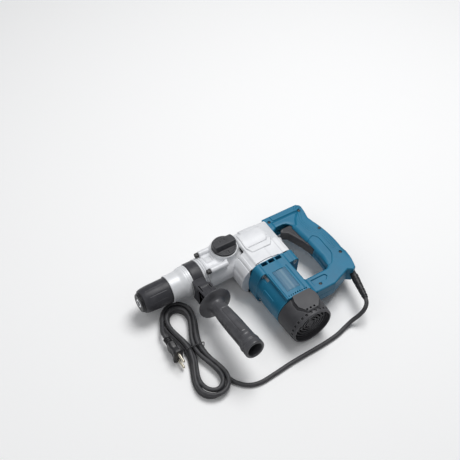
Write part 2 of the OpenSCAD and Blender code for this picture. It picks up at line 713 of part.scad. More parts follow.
module motor_housing_screws() color([0.6, 0.6, 0.62])
    for (spot = motor_screw_spots) difference() {
        union() {
            along_down(spot[0], case_depth - 5, spot[1]) cylinder(r = screw_r,
                h = motor_pocket + 7);
            along_down(spot[0], case_depth + motor_pocket, spot[1]) cylinder(r = motor_head_r,
                h = motor_head_h);
        }
        along_down(spot[0], case_depth + motor_pocket + motor_head_h - 2, spot[1])
            cylinder(r = 2.2, h = 5, $fn = 6);
    }

module end_cap() color([0.25, 0.25, 0.27]) difference() {
    union() {
        along_down(motor_x, motor_bottom + gap) turned([[0, 0], [motor_r - 0.3, 0],
            [motor_r - 0.6, cap_len * 0.6], [motor_r - 2.5, cap_len - gap], [0, cap_len - gap]]);
        drop(motor_bottom + gap, motor_bottom + cap_len * 0.72) translate([motor_x - 20,
            -motor_r + 2.3]) square([40, 2 * motor_r - 4.6]);
    }
    along_down(motor_x, motor_bottom - 1) cylinder(r = motor_r - wall - 0.5, h = cap_len - 10);
    along_down(motor_x, cap_bottom - 8) cylinder(r = motor_r - 6, h = 10);
    for (r = [8 : 6 : 32]) along_down(motor_x, cap_bottom - 15) for (q = [0 : 3])
        rotate(q * 90 + 8) rotate_extrude(angle = 74) translate([r, 0]) square([3, 20]);
    for (side = [-1, 1], i = [-3 : 3]) translate([motor_x + 6.4 * i - 1.6, -cap_bottom + 15,
        side * 34 - 9]) cube([3.2, 3.2, 18]);
}

// ---- Motor ----
module armature_shaft() color([0.7, 0.7, 0.72]) {
    along_down(motor_x, gear_low + 1) turned([[0, 0], [shaft_rm, 0],
        [shaft_rm, rear_bearing_top + 8 - gear_low], [0, rear_bearing_top + 8 - gear_low]]);
    along_down(motor_x, gear_top - 1.5) linear_extrude(gear_face + 2.5)
        spur_outline(pinion_teeth);
}

module armature_core() color([0.45, 0.3, 0.22]) difference() {
    union() {
        along_down(motor_x, core_top) difference() {
            cylinder(r = core_r, h = core_len);
            for (k = [0 : 11]) rotate(30 * k) translate([core_r - 4, -0.9, -1])
                cube([6, 1.8, core_len + 2]);
        }
        along_down(motor_x, core_top - 3.5) cylinder(r = core_r - 5, h = core_len + 7);
    }
    along_down(motor_x, core_top - 5) cylinder(r = shaft_rm, h = core_len + 10);
}

module commutator() color([0.72, 0.42, 0.26]) along_down(motor_x, commutator_top)
    difference() {
        cylinder(r = commutator_r, h = commutator_len);
        translate([0, 0, -1]) cylinder(r = shaft_rm, h = commutator_len + 2);
        for (k = [0 : 23]) rotate(15 * k) translate([commutator_r - 1, -0.25, -1])
            cube([3, 0.5, commutator_len + 2]);
    }

module fan() color([0.2, 0.2, 0.21]) along_down(motor_x, fan_top) difference() {
    union() {
        cylinder(r = fan_r, h = 1.6);
        cylinder(r = shaft_rm + 3, h = 9);
        for (k = [0 : 11]) rotate(30 * k) translate([shaft_rm + 6, -0.7, 0])
            cube([fan_r - shaft_rm - 7, 1.4, 9]);
    }
    translate([0, 0, -1]) cylinder(r = shaft_rm, h = 12);
}

module motor_bearings() color([0.66, 0.67, 0.7]) {
    along_down(motor_x, floor_top) ring(front_bearing_r, shaft_rm + run, floor_h - 3);
    along_down(motor_x, rear_bearing_top) ring(rear_bearing_r, shaft_rm + run, 7);
}

module stator_core() color([0.42, 0.43, 0.45]) along_down(motor_x, core_top) difference() {
    cylinder(r = stator_r, h = core_len);
    translate([0, 0, -1]) cylinder(r = stator_bore, h = core_len + 2);
    for (side = [0, 180]) rotate(side + 40) rotate_extrude(angle = 100)
        translate([stator_bore + 1.5, -1]) square([stator_r - stator_bore - 7, core_len + 2]);
}

module field_coils() color([0.6, 0.3, 0.15]) along_down(motor_x, core_top - 3)
    for (side = [0, 180]) rotate(side + 44) rotate_extrude(angle = 92)
        translate([stator_bore + 1.8, 0]) square([stator_r - stator_bore - 7.6, core_len + 6]);

module brush_holders() color([0.7, 0.58, 0.3]) for (side = [0, 180])
    along_down(motor_x, brush_low) rotate(side) difference() {
        translate([commutator_r + brush_wall, -holder_w / 2, -brush_wall])
            cube([stator_r - commutator_r - brush_wall - 0.5, holder_w, holder_w]);
        translate([commutator_r, -brush_w / 2 - run, 0])
            cube([stator_r - commutator_r - 3, brush_w + 2 * run, brush_w + 2 * run]);
    }

module carbon_brushes() color([0.15, 0.15, 0.16]) for (side = [0, 180])
    along_down(motor_x, brush_low) rotate(side) difference() {
        translate([commutator_r - 1, -brush_w / 2, run]) cube([brush_len, brush_w, brush_w]);
        translate([0, 0, -1]) cylinder(r = commutator_r + run, h = 9);
    }

// ---- Controls ----
module mode_knob() color([0.13, 0.13, 0.14]) translate([knob_x, knob_y, knob_z]) {
    difference() {
        union() {
            cylinder(r = knob_r, h = 4);
            translate([0, 0, 3.9]) intersection() {
                cylinder(r = knob_r - 0.8, h = knob_bar_h);
                translate([-knob_r, -9.5, 0]) cube([2 * knob_r, 19, knob_bar_h]);
            }
        }
        translate([-2, -13, 3.4]) cube([4, 2.5, 2]);
    }
    translate([0, 0, -knob_z + barrel_bore + 1.5]) cylinder(r = knob_shaft_r,
        h = knob_z - barrel_bore - 1.4);
}

// Outline of the handle seen from its side; inset moves it inwards
module handle_outline(inset) {
    i = inset;
    corner = 12 - i;
    polygon(concat(
        [[handle_front + i, handle_top - i]],
        arc([handle_back - 10 - corner - i, handle_top - corner - i], corner, 90, 0, 6),
        arc([handle_back - back_r, back_y], back_r - i, back_a, -back_a, 16),
        [[handle_back - 20 - i, arm_low + 8 + i], [guard_x - 12, guard_y + 4 + i],
         [handle_front + 35, arm_low + i], [arm_front + i, arm_low + i],
         [arm_front + i, gap_low - i]],
        arc([grip_front - 10, gap_low + 8], 8 + i, 270, 340, 4),
        [[grip_front + i, gap_low + 30], [grip_front - 1 + i, -40]],
        arc([grip_front - 16, gap_top - 12], 12 + i, 0, 90, 6),
        [[handle_front + 18, gap_top + i], [handle_front + i, 2 + i]]));
}

module handle_half_shell() {
    skin = handle_half - 3.5;
    difference() {
        union() {
            linear_extrude(skin) handle_outline(0);
            translate([0, 0, skin - 0.1]) linear_extrude(handle_half - skin + 0.1)
                handle_outline(2.5);
        }
        difference() {
            translate([0, 0, -1]) linear_extrude(handle_half - wall + 1) handle_outline(wall);
            for (spot = handle_screw_spots) translate([spot[0], spot[1], -2])
                cylinder(r = 4.5, h = handle_half);
            translate([pivot_x, pivot_y, trigger_w / 2 + gap]) cylinder(r = 4, h = handle_half);
        }
        for (spot = handle_screw_spots) translate([spot[0], spot[1], -1])
            cylinder(r = 1.6, h = handle_half + 2);
        // Slot for the trigger through the inner wall and up into the beam
        translate([handle_front + 14, pivot_y - 8, -1])
            cube([grip_front - handle_front + 10 - 14, gap_top + 6 - pivot_y + 8,
                trigger_w / 2 + 0.5 + 1]);
        translate([grip_front + 3, pivot_y - 8, -1])
            cube([14, gap_top + 2 - pivot_y, trigger_w / 2 + 0.5 + 1]);
        translate([pivot_x, pivot_y, -1]) cylinder(r = pivot_r + run, h = handle_half);
        // Cord exit
        translate([guard_x, guard_y, 0]) rotate([90, 0, -guard_tilt]) translate([0, 0, -16])
            cylinder(r = guard_neck_r, h = 32);
    }
}

module handle_left() color([0.13, 0.47, 0.6]) difference() {
    handle_half_shell();
    for (spot = handle_screw_spots) translate([spot[0], spot[1], handle_half - 2.5])
        cylinder(r = 3.2, h = 4);
}

module handle_right() color([0.13, 0.47, 0.6]) mirror([0, 0, 1]) handle_half_shell();

module handle_screws() color([0.2, 0.2, 0.21]) for (spot = handle_screw_spots)
    translate([spot[0], spot[1], 0]) difference() {
        union() {
            translate([0, 0, -handle_half + 5]) cylinder(r = 1.6, h = 2 * handle_half - 7.5);
            translate([0, 0, handle_half - 2.5]) cylinder(r = 3, h = 1.8);
        }
        translate([0, 0, handle_half - 1.8]) cylinder(r = 1.3, h = 3, $fn = 6);
    }

module trigger() color([0.14, 0.14, 0.15]) {
    face = trigger_w / 2;
    difference() {
        translate([0, 0, -face]) linear_extrude(trigger_w) polygon(concat(
            arc([grip_front - 19, gap_top - 12], 9, 90, 170, 4),
            [[grip_front - 13, -14], [grip_front - 5, -36], [grip_front - 1, pivot_y + 6]],
            arc([pivot_x, pivot_y], 6, 200, 340, 5),
            [[pivot_x + 5, -30], [pivot_x + 2, gap_top - 3]]));
        translate([pivot_x, pivot_y, face - 5]) cylinder(r = 4.6, h = 6);
    }
    translate([pivot_x, pivot_y, -handle_half + wall + 0.5])
        cylinder(r = pivot_r, h = 2 * (handle_half - wall - 0.5));
}

module trigger_spring() color([0.7, 0.7, 0.72])
    translate([pivot_x, pivot_y, trigger_w / 2 - 4.9]) coil(3.2, 0.5, 4.6, 3.5);

module switch_body() color([0.2, 0.2, 0.22]) difference() {
    translate([switch_x, -switch_low, -inner_half]) cube([handle_back - switch_back - switch_x,
        switch_h, 2 * inner_half]);
    for (y = [6, switch_h - 6]) translate([switch_x + 5, y - switch_low, -inner_half - 1])
        cylinder(r = 1.5, h = 2 * inner_half + 2);
}

module terminal_block() color([0.85, 0.85, 0.8]) difference() {
    translate([block_x, block_y, -inner_half]) cube([block_len, block_h, 2 * inner_half]);
    for (i = [0 : 1]) translate([block_x + 7 + 12 * i, block_y + block_h + 1, 0])
        rotate([90, 0, 0]) cylinder(r = 2, h = 10);
}

// Rubber guard whose root is held between the handle shells
module cord_guard() color([0.1, 0.1, 0.11]) translate([guard_x, guard_y, 0])
    rotate([90, 0, -guard_tilt]) translate([0, 0, -12]) turned(concat(
        [[cord_r + run, 0], [guard_neck_r - run, 0], [guard_neck_r - run, 18]],
        [for (i = [0 : 7]) each let (z = 18 + i * (guard_len - 6) / 8,
            r = guard_neck_r + 1.2 - i * 0.22)
            [[r, z], [r, z + 4.2], [r - 1.1, z + 4.4], [r - 1.1, z + (guard_len - 6) / 8]]],
        [[cord_r + run, guard_len + 12]]));

// ---- Side handle ----
module swung() rotate([-side_swing, 0, 0]) children();
module clamp_band() color([0.16, 0.16, 0.17]) swung() difference() {
    union() {
        along_x(neck_x + gap) cylinder(r = band_r, h = band_w - 2 * gap);
        translate([neck_x + gap, -bracket_low + 10, -stem_z]) cube([band_w - 2 * gap,
            bracket_low - 12 - neck_d / 2 + 5, 2 * stem_z]);
    }
    along_x(neck_x - 1) cylinder(r = neck_d / 2 + run, h = band_w + 2);
    along_down(grip_x, neck_d / 2 + 4) cylinder(r = clamp_r, h = bracket_low);
}

module handle_bracket() color([0.15, 0.15, 0.16]) swung() difference() {
    union() {
        translate([grip_x - bracket_w / 2, -bracket_low, -bracket_half]) cube([bracket_w,
            bracket_low - bracket_step, 2 * bracket_half]);
        translate([grip_x - bracket_w / 2, -bracket_step - 0.5, -bracket_half])
            cube([flange_x - gap - 2.5 - grip_x + bracket_w / 2,
                bracket_step + 0.5 - bracket_top, 2 * bracket_half]);
    }
    translate([neck_x, -bracket_low + 9.7, -stem_z - gap]) cube([band_w, 60, 2 * stem_z + 2
        * gap]);
    along_x(neck_x - 40) cylinder(r = barrel_r + 1.2, h = 100);
    along_down(grip_x, 30) cylinder(r = clamp_r + run, h = bracket_low);
    along_x(0) translate([-rod_hole_z, -rod_hole_y, 0]) cylinder(r = depth_rod_d / 2 + run,
        h = 200);
}

module clamp_bolt() color([0.6, 0.6, 0.62]) swung()
    along_down(grip_x, neck_d / 2 + 5) cylinder(r = clamp_r, h = bracket_low - neck_d / 2 + 22);

module side_grip() color([0.15, 0.15, 0.16]) swung() along_down(grip_x, grip_top) {
    r = side_grip_r;
    e = side_grip_len;
    difference() {
        turned(concat([[clamp_r + run, 0], [flange_r - 1, 0], [flange_r, 1], [flange_r - 0.5, 2.6],
            [r + 2, 5], [r - 2.5, 9], [r - 2.2, 20]],
            [for (i = [0 : 4]) [r - 1.6 + 1.6 * sin(90 * i / 4), 30 + i * 12]],
            [[r + 0.4, e - 20], [r + 1.8, e - 17], [r + 1.8, e - 14], [r + 0.9, e - 12],
             [r + 1.8, e - 9], [r + 1.8, e - 1], [r + 0.8, e], [r - 3, e], [r - 3, e - 60],
             [clamp_r + 4, e - 64], [clamp_r + 4, 40], [clamp_r + run, 40]]));
        for (i = [0 : 2]) translate([-r - 2, -9, e * 0.42 + 9 * i]) cube([4, 18, 2.5]);
    }
}

// ---- Cord ----
// Sweeps a round tube along a list of points
module tube_along(points, r, sides = 8) {
    last = len(points) - 1;
    function unit(v) = v / norm(v);
    function heading(i) = unit(points[min(i + 1, last)] - points[max(i - 1, 0)]);
    function side_dir(t) = unit(cross(t, abs(t[2]) > 0.9 ? [1, 0, 0] : [0, 0, 1]));
    corners = [for (i = [0 : last]) let (t = heading(i), a = side_dir(t), b = cross(t, a))
        for (k = [0 : sides - 1]) points[i] + r * (cos(360 * k / sides) * a
            + sin(360 * k / sides) * b)];
    walls = [for (i = [0 : last - 1], k = [0 : sides - 1]) let (n = (k + 1) % sides)
        [i * sides + k, i * sides + n, (i + 1) * sides + n, (i + 1) * sides + k]];
    first = [for (k = [sides - 1 : -1 : 0]) k];
    end = [for (k = [0 : sides - 1]) last * sides + k];
    polyhedron(corners, concat(walls, [first, end]), convexity = 10);
}
// Smooth curve through the points, with a few steps between each two
function between(p, i, s) = let (n = len(p) - 1, a = p[max(i - 1, 0)], b = p[i],
    c = p[min(i + 1, n)], d = p[min(i + 2, n)])
    0.5 * (2 * b + s * (c - a) + s * s * (2 * a - 5 * b + 4 * c - d)
        + s * s * s * (3 * b - a - 3 * c + d));
function smooth(p, steps) = concat([for (i = [0 : len(p) - 2], k = [0 : steps - 1])
    between(p, i, k / steps)], [p[len(p) - 1]]);

module power_cord() color([0.18, 0.18, 0.19]) {
    tube_along(smooth(concat([guard_end], cord_route), 3), cord_r);
    tube_along(smooth(plug_route, 3), cord_r);
}

module on_hank() translate([hank_x, hank_y, rest_z]) rotate(-hank_tilt) children();

// The bundle has two lobes, with a waist where the tie holds it. One side of one lobe is slimmer
// and lets the side handle swing past.
function hank_reach(a) =
    let (belly = sin(a) > 0 && cos(a) > 0 ? hank_slim_belly : hank_belly)
    sin(a) * (hank_waist + belly * (1 - pow(sin(a), 4)));
module cord_hank() color([0.18, 0.18, 0.19]) on_hank() linear_extrude(hank_h)
    polygon([for (a = [0 : 5 : 355]) [hank_reach(a), hank_half_len * cos(a)]]);

// Wire tie over the hank, open where the hank lies on its face
module cord_tie() color([0.05, 0.05, 0.05]) on_hank() difference() {
    translate([-hank_waist - tie_d, -tie_d / 2, 0])
        cube([2 * (hank_waist + tie_d), tie_d, hank_h + tie_d]);
    translate([-hank_waist, -tie_d, -1]) cube([2 * hank_waist, 2 * tie_d, hank_h + 1]);
}

// The plug stands on its edge beside the hank
module plug_body() color([0.14, 0.14, 0.15]) translate(plug_route[0]) rotate([90, 0, 0])
    difference() {
        union() {
            cylinder(r = cord_r + 2.5, h = 16);
            translate([-7, -13, 14]) cube([14, 26, 26]);
            translate([-9, -17, 38]) cube([18, 34, 5]);
        }
        translate([0, 0, -1]) cylinder(r = cord_r, h = 10);
    }

module plug_pins() color([0.8, 0.78, 0.7]) for (side = [-1, 1])
    translate(plug_route[0] + [0, -43, side * 9.5]) rotate([90, 0, 0])
        cylinder(r = 2.4, h = 19);

dust_cap();
tool_holder();
locking_balls();
snap_ring();
locking_sleeve();
sleeve_spring();
front_collar();
front_bearing();
oil_seal();
spindle_cylinder();
bevel_ring_gear();
impact_bolt();
striker();
striker_ring();
piston();
piston_ring();
gudgeon_pin();
connecting_rod();
crank_pin();
crankshaft();
crank_gear();
crank_bearings();
intermediate_gear();
bevel_pinion_shaft();
intermediate_bearings();
rear_spindle_bearing();
barrel_housing();
barrel_screws();
gear_housing();
motor_housing();
motor_housing_screws();
end_cap();
armature_shaft();
armature_core();
commutator();
fan();
motor_bearings();
stator_core();
field_coils();
brush_holders();
carbon_brushes();
mode_knob();
handle_left();
handle_right();
handle_screws();
trigger();
trigger_spring();
switch_body();
terminal_block();
cord_guard();
clamp_band();
handle_bracket();
clamp_bolt();
side_grip();
power_cord();
cord_hank();
cord_tie();
plug_body();
plug_pins();
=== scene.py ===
import math

import bpy
import numpy as np
from mathutils import Matrix, Quaternion, Vector


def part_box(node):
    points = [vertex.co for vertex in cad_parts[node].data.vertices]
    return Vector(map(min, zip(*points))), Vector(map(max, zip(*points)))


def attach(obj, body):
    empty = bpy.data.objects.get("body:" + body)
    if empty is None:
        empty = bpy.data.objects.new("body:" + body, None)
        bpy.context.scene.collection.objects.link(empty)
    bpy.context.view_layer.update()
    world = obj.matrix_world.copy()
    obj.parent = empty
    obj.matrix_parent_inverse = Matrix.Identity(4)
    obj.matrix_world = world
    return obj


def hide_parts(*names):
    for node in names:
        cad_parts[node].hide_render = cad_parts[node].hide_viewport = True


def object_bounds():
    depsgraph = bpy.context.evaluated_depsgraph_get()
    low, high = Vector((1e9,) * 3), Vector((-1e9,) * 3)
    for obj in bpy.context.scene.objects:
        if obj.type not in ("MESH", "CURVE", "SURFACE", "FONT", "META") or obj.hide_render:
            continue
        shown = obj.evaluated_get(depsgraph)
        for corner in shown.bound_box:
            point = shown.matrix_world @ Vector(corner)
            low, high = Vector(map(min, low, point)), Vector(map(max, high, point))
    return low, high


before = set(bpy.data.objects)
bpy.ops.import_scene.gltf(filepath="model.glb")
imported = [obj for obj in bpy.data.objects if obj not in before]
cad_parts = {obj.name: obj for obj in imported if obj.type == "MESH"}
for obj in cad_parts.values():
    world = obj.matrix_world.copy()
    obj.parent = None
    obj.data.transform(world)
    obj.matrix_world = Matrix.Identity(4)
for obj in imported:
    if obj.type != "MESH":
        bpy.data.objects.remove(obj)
cad_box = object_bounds()

# ---- Camera ----
# The tool lies on its side and is seen from above, over its nose and its motor end. Heading is
# the turn from +Y towards +X, dip is the tilt below the horizon, and roll is about the line of sight.
MM = 0.001
heading = math.radians(34.75)
dip = math.radians(49.25)
roll = math.radians(3.25)
aim = Vector((212.6, 37.2, 36.0)) * MM
distance = 1.4097
sight = Vector((math.sin(heading) * math.cos(dip), math.cos(heading) * math.cos(dip), -math.sin(dip)))
camera_data = bpy.data.cameras.new("camera")
camera_data.sensor_width = 36
camera_data.lens = 59.44
camera = bpy.data.objects.new("camera", camera_data)
camera.location = aim - sight * distance
camera.rotation_mode = "QUATERNION"
camera.rotation_quaternion = sight.to_track_quat("-Z", "Y") @ Quaternion((0, 0, 1), roll)
bpy.context.scene.collection.objects.link(camera)
bpy.context.scene.camera = camera

# ---- Floor and light ----
# A plain white studio floor at the height of the lowest point of the tool. One large soft lamp
# stands behind the handle and above it, a weaker one fills from the nose side.
bpy.context.scene.view_settings.view_transform = "Standard"
floor_z = cad_box[0].z


def plain_mesh(name, points, faces):
    """An object made of points and faces, in metres, added to the scene."""
    mesh = bpy.data.meshes.new(name)
    mesh.from_pydata(points, [], faces)
    mesh.update()
    made = bpy.data.objects.new(name, mesh)
    bpy.context.scene.collection.objects.link(made)
    return made


floor_half = 6.0
floor = plain_mesh("floor", [(-floor_half, -floor_half, floor_z), (floor_half, -floor_half, floor_z),
                             (floor_half, floor_half, floor_z), (-floor_half, floor_half, floor_z)],
                   [(0, 1, 2, 3)])
floor_paint = bpy.data.materials.new("floor_paint")
floor_paint.use_nodes = True
floor_tree = floor_paint.node_tree
floor_shader = floor_tree.nodes["Principled BSDF"]
floor_shader.inputs["Roughness"].default_value = 0.8
# White where it is seen, straight or mirrored in metal; duller in the light it throws back up
ray = floor_tree.nodes.new("ShaderNodeLightPath")
seen = ray.outputs["Is Camera Ray"]
for kind in ("Is Glossy Ray", "Is Transmission Ray"):
    either = floor_tree.nodes.new("ShaderNodeMath")
    either.operation = "MAXIMUM"
    floor_tree.links.new(seen, either.inputs[0])
    floor_tree.links.new(ray.outputs[kind], either.inputs[1])
    seen = either.outputs[0]
floor_shade = floor_tree.nodes.new("ShaderNodeMix")
floor_shade.data_type = "RGBA"
floor_shade.inputs["A"].default_value = (0.45, 0.45, 0.46, 1)
floor_shade.inputs["B"].default_value = (1, 1, 1, 1)
floor_tree.links.new(seen, floor_shade.inputs["Factor"])
floor_tree.links.new(floor_shade.outputs["Result"], floor_shader.inputs["Base Color"])
floor.data.materials.append(floor_paint)


def soft_lamp(name, offset, size, watts):
    """A square lamp at an offset from the tool's middle, turned towards it."""
    data = bpy.data.lights.new(name, "AREA")
    data.size = size
    data.energy = watts
    lamp = bpy.data.objects.new(name, data)
    middle = (cad_box[0] + cad_box[1]) / 2
    lamp.location = middle + Vector(offset)
    lamp.rotation_mode = "QUATERNION"
    lamp.rotation_quaternion = (-Vector(offset)).to_track_quat("-Z", "Y")
    bpy.context.scene.collection.objects.link(lamp)


soft_lamp("key_lamp", (0.75, 0.45, 2.2), 1.2, 40)
soft_lamp("fill_lamp", (-1.3, -0.2, 1.5), 1.6, 7)
world = bpy.data.worlds.new("studio")
world.use_nodes = True
world.node_tree.nodes["Background"].inputs["Color"].default_value = (0.95, 0.97, 1.0, 1)
world.node_tree.nodes["Background"].inputs["Strength"].default_value = 0.22
bpy.context.scene.world = world

# ---- Power cord ----
# One rubber-sheathed mains lead from the guard at the handle's foot to the plug. It drops to the
# floor, runs along the motor end and is folded into a tied hank, with its plug beside the waist.
cord_r = 4.0
rest_z = floor_z / MM
cord_z = rest_z + cord_r
cord_points = [
    (354.5, -197, 0), (350, -206, -3), (342, -211, -11), (332, -211, -21), (320, -209, -31),
    (304, -211, -37), (282, -216, cord_z), (250, -219, cord_z), (214, -220, cord_z),
    (178, -221, cord_z), (140, -224, cord_z), (112, -225, cord_z), (92, -219, cord_z),
    (77, -205, cord_z)
]
plug_points = [(18, -51, -28), (14, -62, -25), (14, -74, -25)]
hank_x = 48
hank_y = -112
hank_tilt = math.radians(5)
hank_half_len = 104
hank_waist = 18
hank_belly = 38
# A run that lies further in is slimmer at the belly and shorter at the ends by these shares
belly_share = 0.62
end_share = 1.1


def on_hank(x, y, z):
    """A point given across and along the hank, turned with it."""
    return (hank_x + x * math.cos(hank_tilt) + y * math.sin(hank_tilt),
            hank_y - x * math.sin(hank_tilt) + y * math.cos(hank_tilt), z)


def hank_point(degrees, inset, lift):
    """A point of the winding: an angle round the hank, a distance in from its edge and a height."""
    s = math.sin(math.radians(degrees))
    belly = hank_belly - belly_share * inset
    x = s * (hank_waist - inset + belly * (1 - s ** 4))
    y = (hank_half_len - end_share * inset) * math.cos(math.radians(degrees))
    return on_hank(x, y, rest_z + cord_r + lift)


def winding(stations, step=13):
    """Points between stations of (angle, inset, height), a few degrees apart."""
    points = []
    for (a0, i0, h0), (a1, i1, h1) in zip(stations, stations[1:]):
        count = max(2, round(abs(a1 - a0) / step))
        for k in range(count):
            s = k / count
            ease = s * s * (3 - 2 * s)
            points.append(hank_point(a0 + (a1 - a0) * s, i0 + (i1 - i0) * ease, h0 + (h1 - h0) * ease))
    return points


# A turn and a half lies on the floor, one run inside the other, and nearly two turns lie over it.
# At the waist the upper runs sink into the hollows between the lower ones.
over = 8.2
sunk = 6.9
cord_points += winding([(138, 4, 0), (-150, 4, 0), (-205, 12.6, 0), (-360, 13.4, 0), (-450, 12.9, 0),
                        (-510, 12.6, over), (-560, 12.8, over), (-630, 17.2, sunk),
                        (-700, 12.8, over), (-735, 12.2, over), (-810, 8.4, sunk), (-880, 4.2, over),
                        (-920, 4.2, over), (-990, 8.4, sunk), (-1060, 4.2, over), (-1125, 5, over - 1)])
cord_points += plug_points


def smooth_route(points, steps):
    """A smooth curve through the points, with a few steps between each two."""
    p = [Vector(q) for q in points]
    route = []
    for i in range(len(p) - 1):
        before, after = p[max(i - 1, 0)], p[min(i + 2, len(p) - 1)]
        for k in range(steps):
            s = k / steps
            route.append(0.5 * (2 * p[i] + s * (p[i + 1] - before)
                                + s * s * (2 * before - 5 * p[i] + 4 * p[i + 1] - after)
                                + s ** 3 * (3 * p[i] - before - 3 * p[i + 1] + after)))
    return route + [p[-1]]


def tube(name, route, radius, sides=4):
    """A round curve of one open spline along a route in millimetres."""
    data = bpy.data.curves.new(name, "CURVE")
    data.dimensions = "3D"
    data.bevel_depth = 1
    data.bevel_resolution = sides
    data.use_fill_caps = True
    spline = data.splines.new("POLY")
    spline.points.add(len(route) - 1)
    for point, place in zip(spline.points, route):
        point.co = (*(Vector(place) * MM), 1)
        point.radius = radius * MM
    made = bpy.data.objects.new(name, data)
    bpy.context.scene.collection.objects.link(made)
    return made


cord_route = smooth_route(cord_points, 4)
power_lead = tube("power_lead", cord_route, cord_r)
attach(power_lead, "housing")
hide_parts("power_cord", "cord_hank")


def finish(name, colour, rough, metal=0.0, gloss=0.5):
    """A material with its shader's own values set. Gloss is the strength of its reflections."""
    made = bpy.data.materials.new(name)
    made.use_nodes = True
    shader = made.node_tree.nodes["Principled BSDF"]
    shader.inputs["Base Color"].default_value = (*colour, 1)
    shader.inputs["Roughness"].default_value = rough
    shader.inputs["Metallic"].default_value = metal
    shader.inputs["Specular IOR Level"].default_value = gloss
    return made


def mottle(made, size, detail=3.0, stretch=(1, 1, 1)):
    """Noise in the piece's own space, with grains of a size in millimetres."""
    tree = made.node_tree
    place = tree.nodes.new("ShaderNodeTexCoord")
    scale = tree.nodes.new("ShaderNodeMapping")
    scale.inputs["Scale"].default_value = [1 / (size * MM * s) for s in stretch]
    noise = tree.nodes.new("ShaderNodeTexNoise")
    noise.inputs["Scale"].default_value = 1
    noise.inputs["Detail"].default_value = detail
    tree.links.new(place.outputs["Object"], scale.inputs["Vector"])
    tree.links.new(scale.outputs["Vector"], noise.inputs["Vector"])
    return noise.outputs[0]


def edges(made, low=0.5, high=0.62):
    """How sharply the surface stands out, from 0 to 1, where wear shows first."""
    tree = made.node_tree
    shape = tree.nodes.new("ShaderNodeNewGeometry")
    share = tree.nodes.new("ShaderNodeMapRange")
    share.inputs["From Min"].default_value = low
    share.inputs["From Max"].default_value = high
    tree.links.new(shape.outputs["Pointiness"], share.inputs["Value"])
    return share.outputs[0]


def painted_crease_shade(made):
    """How deep the surface lies between its neighbours, from 0 to 1: the mask for painted shade that
    darkens creases and recesses.
    """
    return edges(made, 0.49, 0.4)


def tint(made, source, dark, pale, low=0.3, high=0.7):
    """Base colour between two shades, led by a source."""
    tree = made.node_tree
    ramp = tree.nodes.new("ShaderNodeValToRGB")
    ramp.color_ramp.elements[0].position = low
    ramp.color_ramp.elements[0].color = (*dark, 1)
    ramp.color_ramp.elements[1].position = high
    ramp.color_ramp.elements[1].color = (*pale, 1)
    tree.links.new(source, ramp.inputs[0])
    tree.links.new(ramp.outputs[0], tree.nodes["Principled BSDF"].inputs["Base Color"])
    return ramp.outputs[0]


def over_tint(made, under, source, colour, share=1.0):
    """Lays one more colour over the base colour where a source is high."""
    tree = made.node_tree
    mix = tree.nodes.new("ShaderNodeMix")
    mix.data_type = "RGBA"
    mix.inputs["B"].default_value = (*colour, 1)
    amount = tree.nodes.new("ShaderNodeMath")
    amount.operation = "MULTIPLY"
    amount.inputs[1].default_value = share
    tree.links.new(source, amount.inputs[0])
    tree.links.new(amount.outputs[0], mix.inputs["Factor"])
    tree.links.new(under, mix.inputs["A"])
    tree.links.new(mix.outputs["Result"], tree.nodes["Principled BSDF"].inputs["Base Color"])
    return mix.outputs["Result"]


def sheen_of(made, source, low, high):
    """Roughness between two values, led by a source."""
    tree = made.node_tree
    share = tree.nodes.new("ShaderNodeMapRange")
    share.inputs["From Min"].default_value = 0.3
    share.inputs["From Max"].default_value = 0.7
    share.inputs["To Min"].default_value = low
    share.inputs["To Max"].default_value = high
    tree.links.new(source, share.inputs["Value"])
    tree.links.new(share.outputs[0], tree.nodes["Principled BSDF"].inputs["Roughness"])


def bumps(made, layers):
    """Raises the surface by layers of (source, height in millimetres)."""
    tree = made.node_tree
    below = None
    for source, height in layers:
        bump = tree.nodes.new("ShaderNodeBump")
        bump.inputs["Strength"].default_value = 1
        bump.inputs["Distance"].default_value = height * MM
        tree.links.new(source, bump.inputs["Height"])
        if below is not None:
            tree.links.new(below, bump.inputs["Normal"])
        below = bump.outputs["Normal"]
    tree.links.new(below, tree.nodes["Principled BSDF"].inputs["Normal"])


def coat(piece, made):
    """Gives a piece one material in place of any it has."""
    piece.data.materials.clear()
    piece.data.materials.append(made)


# The sheath is dull dark grey rubber, with paler scuffs and a slight waviness
sheath = finish("cord_sheath", (0.05, 0.05, 0.053), 0.5)
scuffs = mottle(sheath, 9, 5)
tint(sheath, scuffs, (0.036, 0.036, 0.039), (0.068, 0.068, 0.073), 0.35, 0.72)
sheen_of(sheath, scuffs, 0.42, 0.6)
bumps(sheath, [(mottle(sheath, 6, 2), 0.25), (mottle(sheath, 0.4, 2), 0.03)])
coat(power_lead, sheath)

# ---- Turned front end: dust cap, locking sleeve and front collar ----
# The rubber dust cap closes the nose round the bit. The moulded sleeve behind it is pulled back to
# free the bit, and slides into the turned and satin-lacquered aluminium collar.


def span(node):
    """The lowest and highest corner of a CAD node, in millimetres."""
    low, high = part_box(node)
    return Vector(low) / MM, Vector(high) / MM


def eased(points, r, closed=True, steps=4):
    """A plane outline whose corners are rounded by arcs that reach r along each side."""
    points = [Vector(p) for p in points]
    last = len(points) - 1
    smooth = []
    for i, here in enumerate(points):
        if not closed and i in (0, last):
            smooth.append(tuple(here))
            continue
        before, after = points[i - 1], points[(i + 1) % len(points)]
        back = min(r, (before - here).length * 0.45)
        ahead = min(r, (after - here).length * 0.45)
        start = here + (before - here).normalized() * back
        end = here + (after - here).normalized() * ahead
        for k in range(steps + 1):
            s = k / steps
            smooth.append(tuple((1 - s) ** 2 * start + 2 * s * (1 - s) * here + s * s * end))
    return smooth


